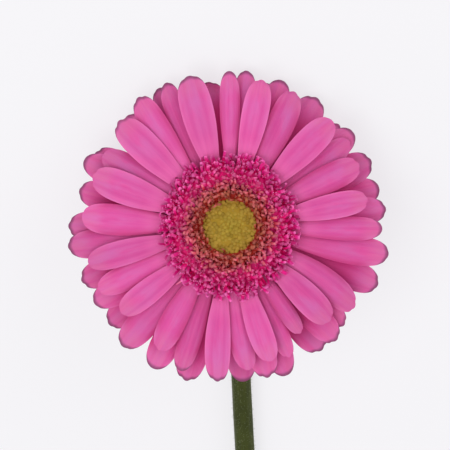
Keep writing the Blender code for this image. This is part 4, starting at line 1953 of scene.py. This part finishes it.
@dataclass
class Stem:
    """The long bare stem: a bending neck, a run along the table and a slanting cut end.

    Attributes:
        radii: Radii at the neck's foot and at the cut.
        sides: Number of points round it.
        neck_rings: Number of rings of points up the neck.
        run_rings: Number of rings along the run.
        neck_share: Value of the mark along at the neck's foot.
        neck_pull: How far the neck runs on straight at either end.
        neck_foot: Where the neck ends and the run starts.
        run_start: The way the run starts.
        run_start_pull: How far it runs on straight there.
        run_bend: The point that the run bends towards.
        run_end: The middle of the cut.
        run_end_back: The way back along the stem from there.
        run_end_pull: How far it runs on straight there.
        top_z: Height of the neck's top in the cup.
        cut_slant: How far the cut slants for each unit of height.
        cut_rings: Share of the radius and depth of each ring of the cut face.
        ribs: Number of ribs round the stem.
        rib_depth: Depth of the grooves between them, as a share of the radius.
        rib_turn: How far the ribs turn over the run.
        swells: Depth, number and start of the waves in the stem's thickness.
    """

    radii: Pair = (3.6, 4.2)
    sides: int = 54
    neck_rings: int = 40
    run_rings: int = 90
    neck_share: float = 0.13
    neck_pull: float = 17.0
    neck_foot: tuple[float, float, float] = (4.53, 173.3, 6.2)
    run_start: tuple[float, float, float] = (-0.02, -1.0, -0.003)
    run_start_pull: float = 41.0
    run_bend: tuple[float, float, float] = (11.03, 57.3, 5.2)
    run_end: tuple[float, float, float] = (12.53, -272.7, 3.937)
    run_end_back: tuple[float, float, float] = (0.03, 1.0, 0.0)
    run_end_pull: float = 170.0
    top_z: float = -13.8
    cut_slant: float = 0.35
    cut_rings: tuple[Pair, ...] = ((0.94, 0.0), (0.86, 0.15), (0.55, 0.3), (0.4, 0.9), (0.15, 1.1))
    ribs: int = 9
    rib_depth: float = 0.03
    rib_turn: float = 2.0
    swells: tuple[tuple[float, float, float], ...] = ((0.012, 23.0, 0.0), (0.008, 61.0, 1.0))

    def spine(self) -> tuple[list[Vector], list[Vector]]:
        """The stem's middle line.

        Returns:
            Bezier control points of the neck and of the run, in millimetres on the table.
        """
        to_table = Matrix.Scale(1 / MM, 4) @ LIE.matrix
        top = to_table @ Vector((0.0, 0.0, self.top_z))
        foot, end = Vector(self.neck_foot), Vector(self.run_end)
        onward, back = Vector(self.run_start).normalized(), Vector(self.run_end_back).normalized()
        neck = [top, top - self.neck_pull * LIE.facing, foot - self.neck_pull * onward, foot]
        run = [foot, foot + self.run_start_pull * onward, Vector(self.run_bend)]
        run += [end + self.run_end_pull * back, end]
        return neck, run

    def ring(
        self,
        controls: Sequence[Vector],
        spot: float,
        share: float,
        inset: float = 1.0,
        sunk: float = 0.0,
    ) -> list[Vector]:
        """One ring of the stem's skin or of its cut face.

        Args:
            controls: The Bezier curve that the ring stands on.
            spot: Where on that curve.
            share: Where on the whole run, from 0 at the neck to 1 at the cut.
            inset: Share of the full radius.
            sunk: How far back from the cut the ring lies.

        Returns:
            The ring's points.
        """
        here, ahead = bezier(controls, spot), heading(controls, spot)
        aside = ahead.cross(Vector((0.0, 0.0, 1.0))).normalized()
        above = aside.cross(ahead)
        swell = 1.0
        for depth, waves, start in self.swells:
            swell += depth * math.sin(waves * share + start)
        radius = lerp(self.radii, share) * swell
        points = []
        for j in range(self.sides):
            angle = 2 * math.pi * j / self.sides
            groove = 0.5 - 0.5 * math.cos(self.ribs * angle + self.rib_turn * share)
            way = math.cos(angle) * aside + math.sin(angle) * above
            point = radius * (1 - self.rib_depth * groove) * inset * way
            if share == 1:
                point += (self.cut_slant * point.z - sunk) * ahead
            point += here
            point.z = max(point.z, 0.0)
            points.append(point)
        return points

    def skin(self) -> Shape:
        """The stem's surface.

        Returns:
            The surface, with its marks along, across and pith.
        """
        neck, run = self.spine()
        rings, alongs = [], []
        for i in range(self.neck_rings):
            share = i / self.neck_rings
            rings.append(self.ring(neck, share, 0.0))
            alongs.append(self.neck_share * share)
        for i in range(self.run_rings + 1):
            share = i / self.run_rings
            rings.append(self.ring(run, share, share))
            alongs.append(lerp((self.neck_share, 1.0), share))
        outside = len(rings)
        for inset, sunk in self.cut_rings:
            rings.append(self.ring(run, 1.0, 1.0, inset, sunk))
            alongs.append(1.0)
        shape = sweep(rings, alongs)
        piths = [float(i >= outside) for i in range(len(rings))]
        acrosses = [math.sin(2 * math.pi * j / self.sides) for j in range(self.sides)]
        shape.marks["pith"] = [pith for pith in piths for _ in acrosses]
        shape.marks["across"] = acrosses * len(rings)
        return shape

    def build(self) -> bpy.types.Object:
        """Builds and dresses the stem.

        Returns:
            The piece.
        """
        finish = GreenFinish(
            "stem_green",
            light=(0.068, 0.083, 0.0145),
            dark=(0.034, 0.043, 0.008),
            end=(0.105, 0.045, 0.013),
            end_at=(0.215, 0.10),
            lines=6.0,
            breaks=26.0,
        )
        piece = self.skin().moved(Matrix.Scale(MM, 4)).make_object("flower_stem")
        return finish_piece(piece, finish.make(), "stem")


@dataclass
class Down:
    """Fine hairs on a piece's skin.

    Attributes:
        name: The piece's name.
        slot: Not used.
        density: Hairs on a square metre.
        longest: Length of the longest hair.
        shortest: Length of the shortest hair.
        lowest: Height over the table, in metres, under which no hair grows.
        seed: Seed of its random numbers.
        slant: How far a hair leans off the skin's normal.
        radius: A hair's radius.
        corner: Angle between the corners of its three-sided ring.
        root: How deep its root stands in the skin, as a share of its length.
        sway: How far its tip stands aside.
        taper: Its tip's radius, as a share of the root's.
    """

    name: str
    slot: str
    density: float
    longest: float
    shortest: float = 0.4
    lowest: float = 0.0012
    seed: int = 4
    slant: float = math.radians(35.0)
    radius: float = 0.035
    corner: float = 2.1
    root: float = 0.05
    sway: float = 0.25
    taper: float = 0.25

    def hair(self) -> Shape:
        """One three-sided hair of length 1.

        Returns:
            The hair, which leans to one side.
        """
        ring = [spoke(self.radius, -self.corner * j, -self.root) for j in range(3)]
        tip = [Vector((self.sway, 0.0, 1.0)) + p * self.taper for p in ring]
        return sweep([ring, tip], (0.0, 1.0))

    def build(
        self, skin: bpy.types.Object, tree: DownTree, material: bpy.types.Material
    ) -> bpy.types.Object:
        """Grows the hairs.

        Args:
            skin: The piece that carries them.
            tree: The tree that places them.
            material: Their material.

        Returns:
            The piece of hairs.
        """
        hair = self.hair().make_object(self.name + "_hair")
        piece = bpy.data.objects.new(self.name, skin.data.copy())
        bpy.context.scene.collection.objects.link(piece)
        tree.apply(piece, {**vars(self), "hair": hair, "finish": material})
        bpy.data.objects.remove(hair)
        return finish_piece(piece, material)


# The stage


@dataclass(frozen=True)
class Lamp:
    """A square soft box that points at the flower's head.

    Attributes:
        name: Its name.
        above: How far it hangs off, straight out of the flower's face.
        left: How far it hangs to the left.
        low: How far it hangs towards the stem.
        side: Its side length.
        power: Its power in watts.
    """

    name: str
    above: float
    left: float
    low: float
    side: float
    power: float

    def hang(self) -> None:
        """Puts the lamp in the scene."""
        head = Vector(LIE.place) * MM
        place = head + self.above * LIE.facing + self.left * Vector((-1.0, 0.0, 0.0))
        place += self.low * -LIE.rim_way
        light = bpy.data.lights.new(self.name, "AREA")
        light.shape = "SQUARE"
        light.size = self.side
        light.energy = self.power
        lamp = bpy.data.objects.new(self.name, light)
        lamp.location = place
        lamp.rotation_euler = (head - place).to_track_quat("-Z", "Y").to_euler()
        bpy.context.scene.collection.objects.link(lamp)


@dataclass
class Studio:
    """A pale table, soft light and the camera that looks straight into the flower."""

    floor_side: float = 12.0
    distance: float = 0.8
    frame_width: float = 0.1545
    shift_right: float = -0.00156
    shift_up: float = 0.00052
    farthest: float = 50.0
    sky: Colour = (0.93, 0.93, 0.95)
    sky_strength: float = 0.55
    lamps: tuple[Lamp, ...] = (
        Lamp("key", above=1.5, left=0.5, low=0.5, side=1.2, power=13.4),
        Lamp("fill", above=1.4, left=-0.9, low=-0.4, side=1.2, power=5.5),
    )

    def floor(self) -> None:
        """Lays the table."""
        half = self.floor_side / 2
        corners = ((-half, -half), (half, -half), (half, half), (-half, half))
        shape = Shape([Vector((x, y, 0.0)) for x, y in corners], [(0, 1, 2, 3)])
        floor = shape.make_object("table_top")
        floor.data.materials.append(FloorFinish().make())

    def surround(self) -> None:
        """Lights the scene evenly from all round."""
        world = bpy.data.worlds.new("studio")
        world.use_nodes = True
        background = world.node_tree.nodes["Background"]
        background.inputs["Color"].default_value = (*self.sky, 1.0)
        background.inputs["Strength"].default_value = self.sky_strength
        bpy.context.scene.world = world

    def camera(self) -> None:
        """Sets the camera up, square to the flower's face with the stem below."""
        right, up, back = Vector((1.0, 0.0, 0.0)), LIE.rim_way, LIE.facing
        head = Vector(LIE.place) * MM
        place = head + self.distance * back + self.shift_right * right + self.shift_up * up
        data = bpy.data.cameras.new("camera")
        data.lens = data.sensor_width * self.distance / self.frame_width
        data.clip_end = self.farthest
        camera = bpy.data.objects.new("camera", data)
        turn = Matrix((right, up, back)).transposed().to_4x4()
        camera.matrix_world = Matrix.Translation(place) @ turn
        bpy.context.scene.collection.objects.link(camera)
        bpy.context.scene.camera = camera

    def build(self) -> None:
        """Sets the whole stage."""
        self.floor()
        self.surround()
        for lamp in self.lamps:
            lamp.hang()
        self.camera()
        bpy.context.scene.view_settings.view_transform = "Standard"


def main() -> None:
    """Builds the flower's pieces in order, and then the stage."""
    logging.basicConfig(level=logging.INFO, format="%(message)s")
    stem = Stem().build()
    spiral = SpiralTree()
    cup = Involucre().build(spiral)
    Petals().build()
    RolledPetal().build()
    for ring in head_rings():
        ring.build(spiral)
    hair, down = HairFinish().make(), DownTree()
    Down("stem_down", "stem", density=6.0e5, longest=1.0).build(stem, down, hair)
    Down("bract_down", "involucre", density=1.2e6, longest=1.1).build(cup, down, hair)
    Studio().build()
    bpy.context.view_layer.update()


if __name__ == "__main__":
    main()
